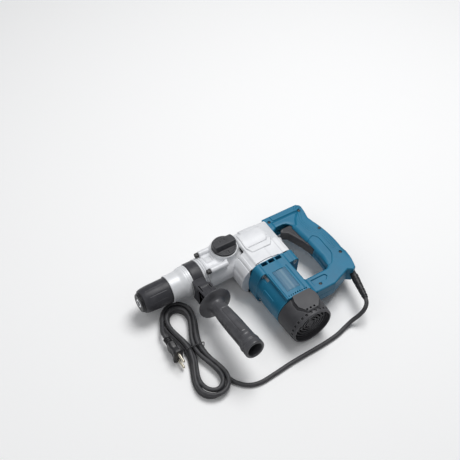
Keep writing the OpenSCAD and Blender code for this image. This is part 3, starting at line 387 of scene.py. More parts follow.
def dense(points, step):
    """The same closed outline with no side longer than a step."""
    filled = []
    for a, b in zip(points, points[1:] + points[:1]):
        a, b = Vector(a), Vector(b)
        count = max(1, math.ceil((b - a).length / step))
        filled += [tuple(a.lerp(b, k / count)) for k in range(count)]
    return filled


def turned(name, profile, sides=128, step=1.5, relief=None, place=Matrix()):
    """A closed profile of (height, radius) points carried round X. The relief moves each point
    along its radius by an amount that depends on angle and height."""
    profile = dense(profile, step)
    height, radius = np.array(profile).T
    angle = np.arange(sides) * 2 * math.pi / sides
    a, h = np.meshgrid(angle, height, indexing="ij")
    r = np.broadcast_to(radius, a.shape)
    if relief is not None:
        r = r + relief(a, h, r)
    points = np.stack([h, r * np.cos(a), r * np.sin(a)], -1).reshape(-1, 3) * MM
    points = points @ np.array(place.to_3x3()).T + np.array(place.translation) * MM
    number = np.arange(a.size).reshape(a.shape)
    across = np.roll(number, -1, 0)
    quads = np.stack([number, across, np.roll(across, -1, 1), np.roll(number, -1, 1)], -1)
    area = sum(p[0] * q[1] - q[0] * p[1] for p, q in zip(profile, profile[1:] + profile[:1]))
    if area > 0:
        quads = quads[..., ::-1]
    made = plain_mesh(name, points.tolist(), quads.reshape(-1, 4).tolist())
    made.data.shade_smooth()
    return made


cap_high = span("dust_cap")[1]
cap_r = cap_high.y
cap_bore = 8.1
cap_hub_r = 12.6
dust_cap = turned("dust_cap_rubber", eased([
    (1.6, cap_bore), (0.6, cap_bore + 0.8), (0.5, cap_bore + 3.4), (0, cap_bore + 4.2),
    (0, cap_r - 3.0), (0.9, cap_r - 1.7), (2.0, cap_r - 1.3), (2.4, cap_r - 1.8),
    (2.9, cap_r - 1.8), (3.3, cap_r - 0.6), (4.4, cap_r), (4.9, cap_r), (5.0, cap_hub_r),
    (cap_high.x, cap_hub_r), (cap_high.x, cap_bore)], 0.5), step=0.7)
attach(dust_cap, "spindle")
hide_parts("dust_cap")

sleeve_low, sleeve_high = span("locking_sleeve")
sleeve_r = sleeve_high.y
sleeve_wall = 2.5
sleeve_nose_r = sleeve_r - 4.3
sleeve_nose_len = 30
holder_r = 13.1
# The step inside the sleeve stays clear of the spring when the sleeve is pulled right back
spring_room_r = holder_r + 4.5
spring_step_x = sleeve_low.x + 15.2
flute_count = 12
flute_deep = 0.6


def ogive(s):
    """Radius of the sleeve at a share of its rounded front."""
    return sleeve_nose_r + (sleeve_r - sleeve_nose_r) * math.sin(math.pi / 2 * s ** 0.45)


def sleeve_flutes(a, h, r):
    """Long fine finger grooves along the sleeve's outside, of several lengths in turn."""
    turn = a * flute_count / (2 * math.pi)
    flute = np.round(turn)
    away = np.abs(turn - flute) * 2 * math.pi / flute_count * r
    start = sleeve_low.x + 9 + 3.0 * (flute % 3)
    end = sleeve_high.x - 7 - 2.0 * (flute % 2)
    along = np.clip(np.minimum(h - start, end - h) / 2.0, 0, 1)
    outer = r > np.where(h > sleeve_low.x + 15, sleeve_r - 2, sleeve_nose_r - 0.2)
    return -flute_deep * np.clip(1.1 - away, 0, 1) * along * outer


shares = [(i / 12) ** 1.6 for i in range(13)]
sleeve_outside = [(sleeve_low.x + sleeve_nose_len * s, ogive(s)) for s in shares]
locking_sleeve = turned("locking_sleeve_shell", eased([
    (sleeve_low.x, holder_r), *sleeve_outside, (sleeve_high.x, sleeve_r),
    (sleeve_high.x, sleeve_r - sleeve_wall), (sleeve_low.x + 42, sleeve_r - sleeve_wall),
    (sleeve_low.x + sleeve_nose_len, sleeve_r - 2 * sleeve_wall),
    (sleeve_low.x + 21.4, spring_room_r), (spring_step_x, spring_room_r),
    (spring_step_x, holder_r)], 0.8), sides=324, step=1.0, relief=sleeve_flutes)
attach(locking_sleeve, "locking_sleeve")
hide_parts("locking_sleeve")

collar_low, collar_high = span("front_collar")
collar_r = collar_high.y
mouth_r = sleeve_r + 0.6
waist_r = sleeve_r + 1.9
flare_r = collar_r - 0.6
collar_bore = 23.5
journal_room_r = 17
flare = [(collar_low.x + 20 + 1.6 * i,
          waist_r + (flare_r - waist_r) * (1 - math.cos(math.pi * i / 8)) / 2) for i in range(9)]
front_collar = turned("front_collar_metal", eased([
    (collar_low.x, mouth_r), (collar_low.x, sleeve_r + 1.6), (collar_low.x + 0.7, sleeve_r + 2.3),
    (collar_low.x + 2.4, sleeve_r + 2.3), (collar_low.x + 3.0, sleeve_r + 1.8), *flare,
    (collar_high.x - 8.2, flare_r), (collar_high.x - 7.8, collar_r),
    (collar_high.x - 6.0, collar_r), (collar_high.x - 5.6, collar_r - 0.7),
    (collar_high.x - 3.6, collar_r - 0.7), (collar_high.x - 3.2, collar_r), (collar_high.x, collar_r),
    (collar_high.x, collar_bore), (collar_low.x + 14, collar_bore),
    (collar_low.x + 13.6, journal_room_r), (collar_low.x + 10.6, journal_room_r),
    (collar_low.x + 9.6, mouth_r)], 0.5), sides=160, step=1.2)
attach(front_collar, "housing")
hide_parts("front_collar")

# Satin black rubber with a dusty bloom
cap_rubber = finish("cap_rubber", (0.02, 0.02, 0.022), 0.4)
bloom = mottle(cap_rubber, 5, 5)
tint(cap_rubber, bloom, (0.014, 0.014, 0.016), (0.028, 0.028, 0.031), 0.4, 0.8)
sheen_of(cap_rubber, bloom, 0.34, 0.5)
bumps(cap_rubber, [(mottle(cap_rubber, 0.5, 3), 0.02)])
coat(dust_cap, cap_rubber)


def worn(made, size, detail, dark, pale, rubbed, share, sheen, grain, depth):
    """Clouds a material between two shades, pales its rubbed edges, and gives it its sheen and a
    fine grain of a size and depth in millimetres."""
    cloud = mottle(made, size, detail)
    base = tint(made, cloud, dark, pale)
    over_tint(made, base, edges(made), rubbed, share)
    sheen_of(made, cloud, *sheen)
    bumps(made, [(mottle(made, grain, 3), depth)])


# Moulded black nylon with a fine spark-eroded grain, greyed along its edges
sleeve_nylon = finish("sleeve_nylon", (0.046, 0.046, 0.052), 0.42, gloss=0.3)
worn(sleeve_nylon, 14, 5, (0.04, 0.04, 0.046), (0.056, 0.056, 0.063), (0.15, 0.15, 0.16), 0.6,
     sheen=(0.34, 0.5), grain=0.35, depth=0.035)
coat(locking_sleeve, sleeve_nylon)

# Silver lacquer on turned aluminium: even and satin, with the turning lines just showing
collar_lacquer = finish("collar_lacquer", (0.8, 0.81, 0.83), 0.42, 0.15)
cloud = mottle(collar_lacquer, 18, 4)
base = tint(collar_lacquer, cloud, (0.74, 0.75, 0.77), (0.84, 0.85, 0.87))
over_tint(collar_lacquer, base, edges(collar_lacquer), (0.93, 0.94, 0.95), 0.5)
sheen_of(collar_lacquer, mottle(collar_lacquer, 2.5, 4), 0.38, 0.5)
bumps(collar_lacquer, [(mottle(collar_lacquer, 1.4, 2, (0.12, 8, 8)), 0.02),
                       (mottle(collar_lacquer, 0.3, 2), 0.012)])
coat(front_collar, collar_lacquer)

# ---- Motor housing ----
# The glass-filled nylon drum that holds the field and hangs under the gear housing on four
# screws. It is moulded in one piece, with a flat panel on each side and a stub for the handle.


def meet(a, b, r=0.0):
    """Distance field of what two shapes share, with the edges between them rounded."""
    return np.minimum(np.maximum(a, b), -r) + np.hypot(np.maximum(a + r, 0), np.maximum(b + r, 0))


def join(a, b, r=0.0):
    """Distance field of two shapes together, with a fillet between them."""
    return -meet(-a, -b, r)


def cut(a, b, r=0.0):
    """Distance field of the first shape without the second."""
    return meet(a, -b, r)


def slab(v, low, high):
    """Distance field of everything between two heights."""
    return np.abs(v - (low + high) / 2) - (high - low) / 2


def block(x, y, z, low, high, r=1.0):
    """Distance field of a box from corner to corner with rounded edges."""
    q = [slab(v, a + r, b - r) for v, a, b in zip((x, y, z), low, high)]
    outside = np.sqrt(sum(np.maximum(v, 0) ** 2 for v in q))
    return outside + np.minimum(np.maximum(np.maximum(q[0], q[1]), q[2]), 0) - r


def strip(u, v, points):
    """Distance in a plane to a line through points."""
    nearest = None
    for (u0, v0), (u1, v1) in zip(points, points[1:]):
        du, dv = u1 - u0, v1 - v0
        s = np.clip(((u - u0) * du + (v - v0) * dv) / (du * du + dv * dv), 0, 1)
        away = (u - u0 - du * s) ** 2 + (v - v0 - dv * s) ** 2
        nearest = away if nearest is None else np.minimum(nearest, away)
    return np.sqrt(nearest)


def outline(u, v, points):
    """Distance field in a plane of the area inside a closed outline."""
    inside = False
    for (u0, v0), (u1, v1) in zip(points, points[1:] + points[:1]):
        if v0 != v1:
            inside = inside ^ (((v0 > v) != (v1 > v)) & (u < u0 + (u1 - u0) * (v - v0) / (v1 - v0)))
    return np.where(inside, -1.0, 1.0) * strip(u, v, points + points[:1])


def only(where, area):
    """An area of the surface kept to one part of the piece, and far away outside it."""
    return np.where(where, area, 9)


def raised(d, area, height, soft=1.0):
    """Lifts a surface inside an area, with a soft edge. A negative height sinks it."""
    share = np.clip(0.5 - area / soft, 0, 1)
    return d - height * share * share * (3 - 2 * share)


def skin(name, field, low, high, cell=0.8, place=Matrix()):
    """Mesh of the surface of a distance field, in millimetres, found on a grid of small cells.
    Each vertex is moved onto the surface and takes the field's slope as its normal."""
    grid = [np.arange(a - 2 * cell, b + 3 * cell, cell) for a, b in zip(low, high)]
    d = field(*np.meshgrid(*grid, indexing="ij", sparse=True))
    solid = d < 0
    count = np.zeros([n - 1 for n in d.shape], np.int8)
    for corner in np.ndindex(2, 2, 2):
        count += solid[tuple(slice(c, n - 1 + c) for c, n in zip(corner, d.shape))]
    crossed = (count > 0) & (count < 8)
    number = np.full(crossed.shape, -1)
    number[crossed] = np.arange(crossed.sum())
    total = np.zeros((crossed.sum(), 3))
    hits = np.zeros(len(total))
    quads = []
    for axis in range(3):
        first = tuple(slice(0, -1) if a == axis else slice(1, -1) for a in range(3))
        second = tuple(slice(1, None) if a == axis else slice(1, -1) for a in range(3))
        start = np.argwhere(solid[first] != solid[second]) + [0 if a == axis else 1 for a in range(3)]
        end = start + np.eye(3, dtype=int)[axis]
        d0, d1 = d[tuple(start.T)], d[tuple(end.T)]
        point = start + (d0 / (d0 - d1))[:, None] * (end - start)
        around = []
        for b, c in ((0, 0), (-1, 0), (-1, -1), (0, -1)):
            cells = start.copy()
            cells[:, (axis + 1) % 3] += b
            cells[:, (axis + 2) % 3] += c
            vertex = number[tuple(cells.T)]
            for k in range(3):
                total[:, k] += np.bincount(vertex, point[:, k], len(total))
            hits += np.bincount(vertex, minlength=len(total))
            around.append(vertex)
        quad = np.stack(around, 1)
        quads.append(np.where((d0 > 0)[:, None], quad[:, ::-1], quad))
    points = total / hits[:, None] * cell + [g[0] for g in grid]
    for settle in range(2):
        here = field(*points.T)
        reach = 0.1 * cell
        slope = np.stack([field(*(points + e).T) - here for e in np.eye(3) * reach], 1) / reach
        steep = np.maximum((slope ** 2).sum(1), 0.2)
        if settle == 0:
            points -= np.clip(slope * (here / steep)[:, None], -0.5 * cell, 0.5 * cell)
    normals = slope / np.sqrt(steep)[:, None]
    turn = np.array(place.to_3x3())
    points = (points @ turn.T + np.array(place.translation)) * MM
    quads = np.concatenate(quads)
    mesh = bpy.data.meshes.new(name)
    mesh.vertices.add(len(points))
    mesh.vertices.foreach_set("co", points.ravel())
    mesh.loops.add(quads.size)
    mesh.loops.foreach_set("vertex_index", quads.ravel())
    mesh.polygons.add(len(quads))
    mesh.polygons.foreach_set("loop_start", np.arange(0, quads.size, 4))
    mesh.update(calc_edges=True)
    mesh.shade_smooth()
    mesh.normals_split_custom_set_from_vertices(normals @ turn.T)
    made = bpy.data.objects.new(name, mesh)
    bpy.context.scene.collection.objects.link(made)
    return made


motor_low, motor_high = span("motor_housing")
shaft = span("armature_shaft")
motor_x = (shaft[0].x + shaft[1].x) / 2
motor_top = motor_high.y
motor_bottom = motor_low.y
drum_r = motor_high.z
panel_half = 25.5
flange_low = motor_top - 24
flange_front = motor_low.x
flange_back = 283.9
flange_half = 39.5
stub_top = -116.3
stub_half = 17.3
screw_heads = [(207.5, 33), (275.5, 33), (207.5, -33), (275.5, -33)]
head_boss_r, head_hole_r = 7.2, 5.3
flange_bow_r = 90
drum_wall = 3.6
fan_room_r = 34.5
window_low, window_high = (221, -136), (248, -88)
window_floor = drum_r - 1.9
groove_left, groove_right = 213, 252.5
slot_pitch, slot_half = 15, 6
vent_pitch = 4.6


def rect(u, v, low, high, r=1.0):
    """Distance field in a plane of a rounded rectangle from corner to corner."""
    a, b = slab(u, low[0] + r, high[0] - r), slab(v, low[1] + r, high[1] - r)
    return np.hypot(np.maximum(a, 0), np.maximum(b, 0)) + np.minimum(np.maximum(a, b), 0) - r


def motor_field(x, y, z):
    side = np.abs(z)
    reach = np.hypot(x - motor_x, z)
    drum = reach - drum_r
    panel_z = drum_r - 0.7
    panel = rect(x, z, (motor_x - panel_half, -panel_z), (motor_x + panel_half, panel_z), 2)
    drum = join(drum, panel, 0.7)
    bow = np.hypot(x - flange_front - flange_bow_r, z) - flange_bow_r
    flange = meet(rect(x, z, (flange_front - 60, -flange_half), (flange_back, flange_half), 9), bow, 7)
    heads = np.minimum.reduce([np.hypot(x - a, z - b) for a, b in screw_heads])
    flange = join(flange, heads - head_boss_r, 2)
    flange = meet(flange, slab(y, flange_low, motor_top), 1.2)
    body = meet(drum, slab(y, motor_bottom, motor_top), 0.6)
    body = join(body, flange, 2)
    stub = block(x, y, z, (motor_x, motor_bottom, -stub_half), (motor_high.x, stub_top, stub_half), 3)
    body = join(body, stub, 3)
    # Sunk window for the rating plate
    window = rect(x, y, window_low, window_high, 0.8)
    body = cut(body, meet(window, window_floor - z, 0), 0.2)
    # Panel grooves, from the screw heads down to the end cap
    lines = np.minimum(strip(x, y, [(groove_left, -88), (groove_left, -168)]),
                       strip(x, y, [(groove_right, -86), (groove_right, -168)]))
    body = raised(body, only(side > 30, lines - 0.9), -0.8, 1.4)
    # Long pill rib on the drum's flank
    pill = strip(x, y, [(196.5, -102), (196.5, -127)]) - 2.2
    body = raised(body, only(side > 8, pill), 0.9, 1.6)
    # Three air slots near the flange, and the counterbores of the screws
    for i in (-1, 0, 1):
        middle = motor_x - 1 + slot_pitch * i
        slot = rect(x, y, (middle - slot_half, -68.5), (middle + slot_half, -61.5), 0.8)
        body = cut(body, meet(slot, 31 - side, 0), 0.3)
    body = cut(body, meet(heads - head_hole_r, slab(y, flange_low - 12, flange_low + 6), 0), 0.4)
    # Row of small vents above the end cap
    vent = np.clip(np.round((x - motor_x) / vent_pitch), -4, 4)
    hole = rect(x - motor_x - vent * vent_pitch, y, (-0.9, -146.4), (0.9, -144.2), 0.3)
    body = cut(body, meet(hole, 37 - side, 0), 0.2)
    # Bore for the field and the fan
    body = cut(body, meet(reach - (drum_r - drum_wall), slab(y, -170, motor_top - 16), 2), 0.4)
    return cut(body, meet(reach - fan_room_r, slab(y, -80, 0), 0), 0.4)


motor_housing = skin("motor_housing_shell", motor_field, motor_low, motor_high)
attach(motor_housing, "housing")
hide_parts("motor_housing")

# Teal glass-filled nylon: a fine grain, cloudy sheen and slightly paler edges
teal_nylon = finish("teal_nylon", (0.011, 0.165, 0.295), 0.42, gloss=0.35)
clouds = mottle(teal_nylon, 30, 5)
base = tint(teal_nylon, clouds, (0.007, 0.15, 0.27), (0.015, 0.185, 0.325))
base = over_tint(teal_nylon, base, edges(teal_nylon), (0.07, 0.34, 0.48), 0.5)
# Painted shade: creases and recesses are darkened to a deep teal
over_tint(teal_nylon, base, painted_crease_shade(teal_nylon), (0.002, 0.06, 0.11), 0.7)
sheen_of(teal_nylon, clouds, 0.36, 0.5)
bumps(teal_nylon, [(mottle(teal_nylon, 0.4, 3), 0.03), (mottle(teal_nylon, 12, 2), 0.05)])
coat(motor_housing, teal_nylon)

# A blank rating plate of brushed, tinted foil is glued in the sunk window
plate_low = (window_low[0] + 0.3, window_low[1] + 0.3)
plate_high = (window_high[0] - 0.3, window_high[1] - 0.3)
plate_z = window_floor - 0.1
plate_top = plate_z + 0.9


def plate_field(x, y, z):
    face = meet(rect(x, y, plate_low, plate_high, 1.2), slab(z, plate_z, plate_top), 0.15)
    inner_low = (window_low[0] + 2, window_low[1] + 2)
    inner_high = (window_high[0] - 2, window_high[1] - 2)
    frame_line = np.abs(rect(x, y, inner_low, inner_high, 0.6)) - 0.25
    return raised(face, only(z > plate_z + 0.5, frame_line), -0.15, 0.3)


rating_plate = skin("rating_plate_foil", plate_field, (*plate_low, plate_z), (*plate_high, plate_top), 0.4)
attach(rating_plate, "housing")
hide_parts("motor_housing")
plate_foil = finish("plate_foil", (0.06, 0.2, 0.3), 0.42)
bands = mottle(plate_foil, 9, 2, (1, 30, 30))
tint(plate_foil, bands, (0.012, 0.12, 0.22), (0.09, 0.21, 0.3), 0.42, 0.58)
sheen_of(plate_foil, mottle(plate_foil, 1.5, 3), 0.36, 0.5)
bumps(plate_foil, [(mottle(plate_foil, 0.4, 2, (1, 20, 20)), 0.01)])
coat(rating_plate, plate_foil)

# ---- End cap ----
# The dark nylon cap that closes the motor and carries the rear bearing. Air enters by its ring
# grille and its rows of small vents, and a shield-shaped plate is raised on each side.
cap_top = span("end_cap")[1].y
cap_end = span("end_cap")[0].y
cap_rim_r = drum_r - 2
tongue = [(222, cap_top + 1.5), (257, cap_top + 1.5), (262, cap_top - 10), (262, cap_top - 22),
          (250, cap_top - 37), (228, cap_top - 37), (218, cap_top - 22), (218, cap_top - 10)]
cap_wall = 4
vent_count = 26
vent_step = math.radians(360 / vent_count)
small_vent_pitch = 7.5
grille_pitch = 6
grille_turn = 0.14


def end_cap_field(x, y, z):
    reach = np.hypot(x - motor_x, z)
    taper = np.clip((cap_top - y) / (cap_top - cap_end), 0, 1.2)
    wall_r = drum_r - 0.2 - 2.2 * taper ** 2
    body = meet(reach - wall_r, slab(y, cap_end, cap_top), 2.2)
    plate_area = outline(x, y, eased(tongue, 0.8))
    plate = meet(plate_area, np.abs(z) - drum_r - 0.3 * (z > 0) + 1.6 * taper ** 2, 0.6)
    plate = meet(plate, 24 - np.abs(z), 0)
    body = join(body, plate, 0.5)
    # A groove runs round the plate, and three vents stand under it
    groove = only(np.abs(z) > 20, np.abs(plate_area - 2.2) - 1.0)
    body = raised(body, groove, -1.5, 1.0)
    place = np.clip(np.round((x - motor_x) / small_vent_pitch), -1, 1)
    small = rect(x - motor_x - place * small_vent_pitch, y, (-1.7, cap_top - 34.8),
                 (1.7, cap_top - 31.6), 0.4)
    body = cut(body, meet(small, 34 - np.abs(z), 0), 0.3)
    # A ring of square vents near the rim
    angle = np.arctan2(z, x - motor_x)
    turn = (angle / vent_step - np.round(angle / vent_step)) * vent_step * reach
    vents = meet(np.abs(turn) - 2.1, slab(y, cap_end + 4.6, cap_end + 8.8), 0.3)
    body = cut(body, meet(vents, 37.2 - reach, 0), 0.3)
    # Sunk end with concentric slots, interrupted by four spokes
    body = cut(body, meet(reach - (cap_rim_r - cap_wall), y - cap_end - 8, 1.0), 0.8)
    hollow = meet(reach - (drum_r - cap_wall), slab(y, cap_end + 12, cap_top + 5), 1)
    body = cut(body, hollow, 0.3)
    rank = (reach - 9.5) / grille_pitch
    ring = np.abs(rank - np.clip(np.round(rank), 0, 4)) * grille_pitch - 1.5
    spoke_u = (x - motor_x) * math.cos(grille_turn) + z * math.sin(grille_turn)
    spoke_v = z * math.cos(grille_turn) - (x - motor_x) * math.sin(grille_turn)
    spokes = np.minimum(np.abs(spoke_u), np.abs(spoke_v)) - 1.8
    slots = meet(meet(ring, -spokes, 0.3), slab(y, cap_end + 4, cap_end + 20), 0)
    return cut(body, slots, 0.3)


end_cap = skin("end_cap_shell", end_cap_field, (motor_x - 43, cap_end, -43),
               (motor_x + 43, cap_top + 2, 43.5))
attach(end_cap, "housing")
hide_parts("end_cap")

# Dark grey nylon with a coarse eroded grain and greyed edges
dark_nylon = finish("dark_nylon", (0.062, 0.062, 0.067), 0.5, gloss=0.35)
worn(dark_nylon, 20, 5, (0.048, 0.048, 0.053), (0.074, 0.074, 0.08), (0.2, 0.2, 0.21), 0.5,
     sheen=(0.42, 0.58), grain=0.5, depth=0.05)
coat(end_cap, dark_nylon)

# ---- Handle ----
# Two nylon half shells screwed together at z = 0, which hold the switch, the trigger and the cord
# guard. The front ends bolt to the gear housing and to the stub of the motor housing.
handle_low, handle_high = span("handle_left")
handle_front = 284.5
handle_back = handle_high.x
handle_top = handle_high.y
handle_half = handle_high.z
arm_front = 278.5
arm_low = handle_low.y
gap_top = 11
gap_low = -116
grip_front = handle_back - 54
guard_x = handle_back - 17
guard_y = arm_low + 10
guard_tilt = math.radians(15)
guard_seat_r = 6.1
shell_wall = 3
screw_boss_r, screw_sink_r = 4.5, 3.3


def arc(middle, r, first, last, steps=8):
    """Points of an arc between two angles in degrees."""
    angles = [math.radians(first + (last - first) * k / steps) for k in range(steps + 1)]
    return [(middle[0] + r * math.cos(a), middle[1] + r * math.sin(a)) for a in angles]


back_y, back_half, back_bulge = -68, 72, 13
back_r = (back_half ** 2 + back_bulge ** 2) / (2 * back_bulge)
back_a = math.degrees(math.asin(back_half / back_r))
handle_outline = [
    (handle_front + 3.5, handle_top), *arc((handle_back - 22, handle_top - 12), 12, 90, 0, 5),
    *arc((handle_back - back_r, back_y), back_r, back_a, -back_a, 16),
    (handle_back - 20, arm_low + 8), (guard_x - 12, guard_y + 4), (handle_front + 35, arm_low),
    (arm_front, arm_low), (arm_front, gap_low), *arc((grip_front - 10, gap_low + 8), 8, 270, 340, 4),
    (grip_front, gap_low + 30), (grip_front - 1, -40), *arc((grip_front - 16, gap_top - 12), 12, 0, 90, 6),
    (handle_front + 18, gap_top), (handle_front - 3, 2)]
trigger_half = 11
pivot = (grip_front + 8, -58)
screw_spots = [(handle_front + 12, handle_top - 13), (handle_back - 22, handle_top - 16),
               (handle_back - 14, -30), (handle_back - 16, -98), (arm_front + 16, arm_low + 13)]
terraces = [(358, 40), (352, 16), (345, 5), (349, -28), (365, -45), (364, -88), (378, -98),
            (400, -100), (400, 40)]
terrace_pitch = 4.8
finger_edge = [(grip_front - 20, -44), (grip_front + 6, -44), (grip_front + 16, -38),
               (grip_front + 24, -48), (grip_front + 23, -92), (grip_front + 8, gap_low + 4),
               (grip_front - 20, gap_low + 4)]
top_rib = [(304, 28), (304, 39.5), (366, 39.5), (372, 34), (364, 27)]
arm_recess = [(arm_front + 2, -124.5), (313, -124.5), (316, -130), (309, -136), (arm_front + 2, -136)]
beam_slope = [(300, 26), (362, 26), (346, 12), (338, -2), (300, 6)]


def handle_field(side):
    """Distance field of one half shell; side is 1 for the left half and -1 for the right one."""
    def field(x, y, z):
        depth = z * side
        area = outline(x, y, handle_outline)
        # The surface falls away towards its edges, most round the grip
        grip = np.clip((y + 120) / 30, 0, 1) * np.clip((20 - y) / 30, 0, 1)
        body = meet(area, depth - handle_half, 3.2)
        crown = meet(area, depth - handle_half, 10)
        body = body + (crown - body) * grip
        body = raised(body, only(depth > 4, outline(x, y, beam_slope)), -2.6, 5)
        rib = outline(x, y, eased(top_rib, 3))
        body = raised(body, only(depth > 8, rib), 1.5, 1.6) if side > 0 else body
        steps = only(depth > 3, outline(x, y, eased(terraces, 8)))
        for k in range(3):
            terrace = steps + terrace_pitch * k
            body = raised(body, terrace, -0.7, 0.9)
            body = raised(body, np.abs(terrace) - 0.35, -0.7, 0.9)
        fingers = only(depth > 2, outline(x, y, eased(finger_edge, 6)))
        body = raised(body, fingers, -1.6, 1.8)
        recess = outline(x, y, eased(arm_recess, 2))
        body = raised(body, only(depth > 8, recess), -2.4, 1.2)
        body = meet(body, -depth, 0.35)
        body = cut(body, meet(body + shell_wall, 0.5 - depth, 0), 0)
        # Trigger slot, its pivot boss, the screw holes and the seat of the cord guard
        slot = rect(x, y, (grip_front - 28, pivot[1] - 8), (grip_front + 4, gap_top + 5), 2)
        body = cut(body, meet(slot, depth - trigger_half, 0), 0.4)
        for spot in screw_spots:
            hole = np.hypot(x - spot[0], y - spot[1])
            body = join(body, meet(hole - screw_boss_r, slab(depth, 0, handle_half - 3.5), 0.3), 0.6)
            if side > 0:
                body = cut(body, meet(hole - screw_sink_r, handle_half - 2.6 - depth, 0.3), 0.5)
        across = (x - guard_x) * math.cos(guard_tilt) - (y - guard_y) * math.sin(guard_tilt)
        along = (x - guard_x) * math.sin(guard_tilt) + (y - guard_y) * math.cos(guard_tilt)
        seat = np.hypot(across, z) - guard_seat_r
        return cut(body, meet(seat, slab(along, -20, 16), 0), 0.6)
    return field


shell_front = 275
handle_left = skin("handle_shell_left", handle_field(1), (shell_front, arm_low, 0),
                   (handle_back, handle_top, handle_half + 1))
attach(handle_left, "housing")
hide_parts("handle_left")
handle_right = skin("handle_shell_right", handle_field(-1), (shell_front, arm_low, -handle_half),
                    (handle_back, handle_top, 0))
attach(handle_right, "housing")
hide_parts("handle_right")
for half in (handle_left, handle_right):
    coat(half, teal_nylon)

# ---- Barrel housing ----
# The silver-lacquered die casting round the spindle. Four long screws run back through bosses on
# its outside into the gear housing, and the mode knob sits in a ring on its left side.
barrel_low, barrel_high = span("barrel_housing")
knob_low, knob_high = span("mode_knob")
knob_x = (knob_low.x + knob_high.x) / 2
knob_y = (knob_low.y + knob_high.y) / 2
knob_r = (knob_high.x - knob_low.x) / 2
knob_shaft_r = 6
knob_seat = 38.6
neck_r = 26.8
neck_x = 100.5
flange_x = 121.5
boss_front = flange_x + 13
bearing_x = flange_x + 15
seam_x = barrel_high.x
barrel_r = 30
neck_bore = 21.3
bearing_bore = 26.3
spigot_r = 23.4
ridge_places = (1.4, 5.7, 10)
boss_spots = [(21.6, 29), (-21.6, 29), (21.6, -29), (-9, -34.5)]
boss_r = 5.6
boss_end_left, boss_end_right = 171, 165


def barrel_field(x, y, z):
    reach = np.hypot(y, z)
    swell = 0.7 * np.clip((x - 165) / 30, 0, 1)
    body = meet(reach - barrel_r - swell, slab(x, flange_x, seam_x), 0.8)
    for at in ridge_places:
        body = join(body, np.hypot(x - flange_x - at, reach - barrel_r) - 1.35, 0.7)
    # Long screw bosses with sloping ends, joined to the barrel by a web
    for by, bz in boss_spots:
        end = boss_end_left if bz > 0 else boss_end_right
        boss = np.hypot(y - by, z - bz) - boss_r
        boss = meet(boss, slab(x, boss_front, end), 2.2)
        web = block(x, y, z, (boss_front + 1, min(by, 0.6 * by), min(bz, 0.6 * bz)),
                    (end - 5, max(by, 0.6 * by), max(bz, 0.6 * bz)), 1.5)
        body = join(body, join(boss, web, 2), 2.5)
    # Ring under the mode knob, and the saddle that carries it back to the seam
    knob_reach = np.hypot(x - knob_x, y - knob_y)
    ring = meet(knob_reach - knob_r - 2.2, slab(z, 8, knob_seat - 0.4), 1.6)
    body = join(body, ring, 5)
    saddle = block(x, y, z, (knob_x, knob_y - 13, 15), (seam_x, knob_y + 11, 35), 4)
    body = join(body, saddle, 6)
    body = cut(body, meet(knob_reach - knob_r - 0.5, knob_seat - 1.6 - z, 0), 0.4)
    # Cast pad with a sunk face, between the bosses
    pad = rect(x, y, (137, -4), (153, 13), 1.5)
    body = raised(body, only(z > 20, pad), 0.8, 1.2)
    body = raised(body, only(z > 20, rect(x, y, (138.5, -2), (151, 9), 1)), -1.1, 1.0)
    neck = meet(reach - neck_r, slab(x, barrel_low.x, flange_x + 2), 0.4)
    spigot = meet(reach - spigot_r, slab(x, barrel_low.x, flange_x), 0.4)
    body = np.minimum(body, meet(neck, neck_x - x, 0.3))
    body = np.minimum(body, spigot)
    body = meet(body, slab(x, barrel_low.x, seam_x), 0.3)
    body = cut(body, reach - np.where(x > bearing_x, bearing_bore, neck_bore), 0.3)
    return cut(body, meet(knob_reach - (knob_shaft_r + 0.2), -z, 0), 0.3)


barrel_housing = skin("barrel_casting", barrel_field, (barrel_low.x, -40, -42), (seam_x, 36, 40))
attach(barrel_housing, "housing")
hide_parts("barrel_housing")

# Silver lacquer over the casting: faintly uneven, satin, brighter where the edges have rubbed
cast_lacquer = finish("cast_lacquer", (0.8, 0.81, 0.83), 0.46, 0.05)
drift = mottle(cast_lacquer, 24, 5)
base = tint(cast_lacquer, drift, (0.74, 0.75, 0.775), (0.83, 0.84, 0.86))
base = over_tint(cast_lacquer, base, edges(cast_lacquer), (0.9, 0.91, 0.92), 0.5)
# Painted shade: creases and recesses of the casting are darkened to a dark grey
over_tint(cast_lacquer, base, painted_crease_shade(cast_lacquer), (0.22, 0.225, 0.24), 0.8)
sheen_of(cast_lacquer, mottle(cast_lacquer, 4, 4), 0.4, 0.54)
bumps(cast_lacquer, [(mottle(cast_lacquer, 0.5, 3), 0.035), (mottle(cast_lacquer, 5, 2), 0.06)])
coat(barrel_housing, cast_lacquer)

# ---- Gear housing ----
# The second casting holds the crank, the gears and the front motor bearing. Its front is a round
# nose under the barrel, and each side carries a raised, creased panel.
gear_low, gear_high = span("gear_housing")
case_half = 40
case_back = gear_high.x
case_depth = -gear_low.y
nose_x = 217.5
lobe_valley = 15
rib_x, crease_x = 196.5, 192.6
facet_x = 262
barrel_room_r = 30.9
rear_bore_r = 27
chamber_r = 36.5
chamber_half = 36
side_panel = [(212, 17), (211, -18), (217, -32), (256, -32), (263, -22), (269, -14), (262, 4), (254, 17)]
panel_fold = [(217, -19.5), (255, -19.5), (262, -9)]
hump = [(222, 17.5), (224, 31), (248, 31), (256, 27), (262, 30), (262, 17.5)]


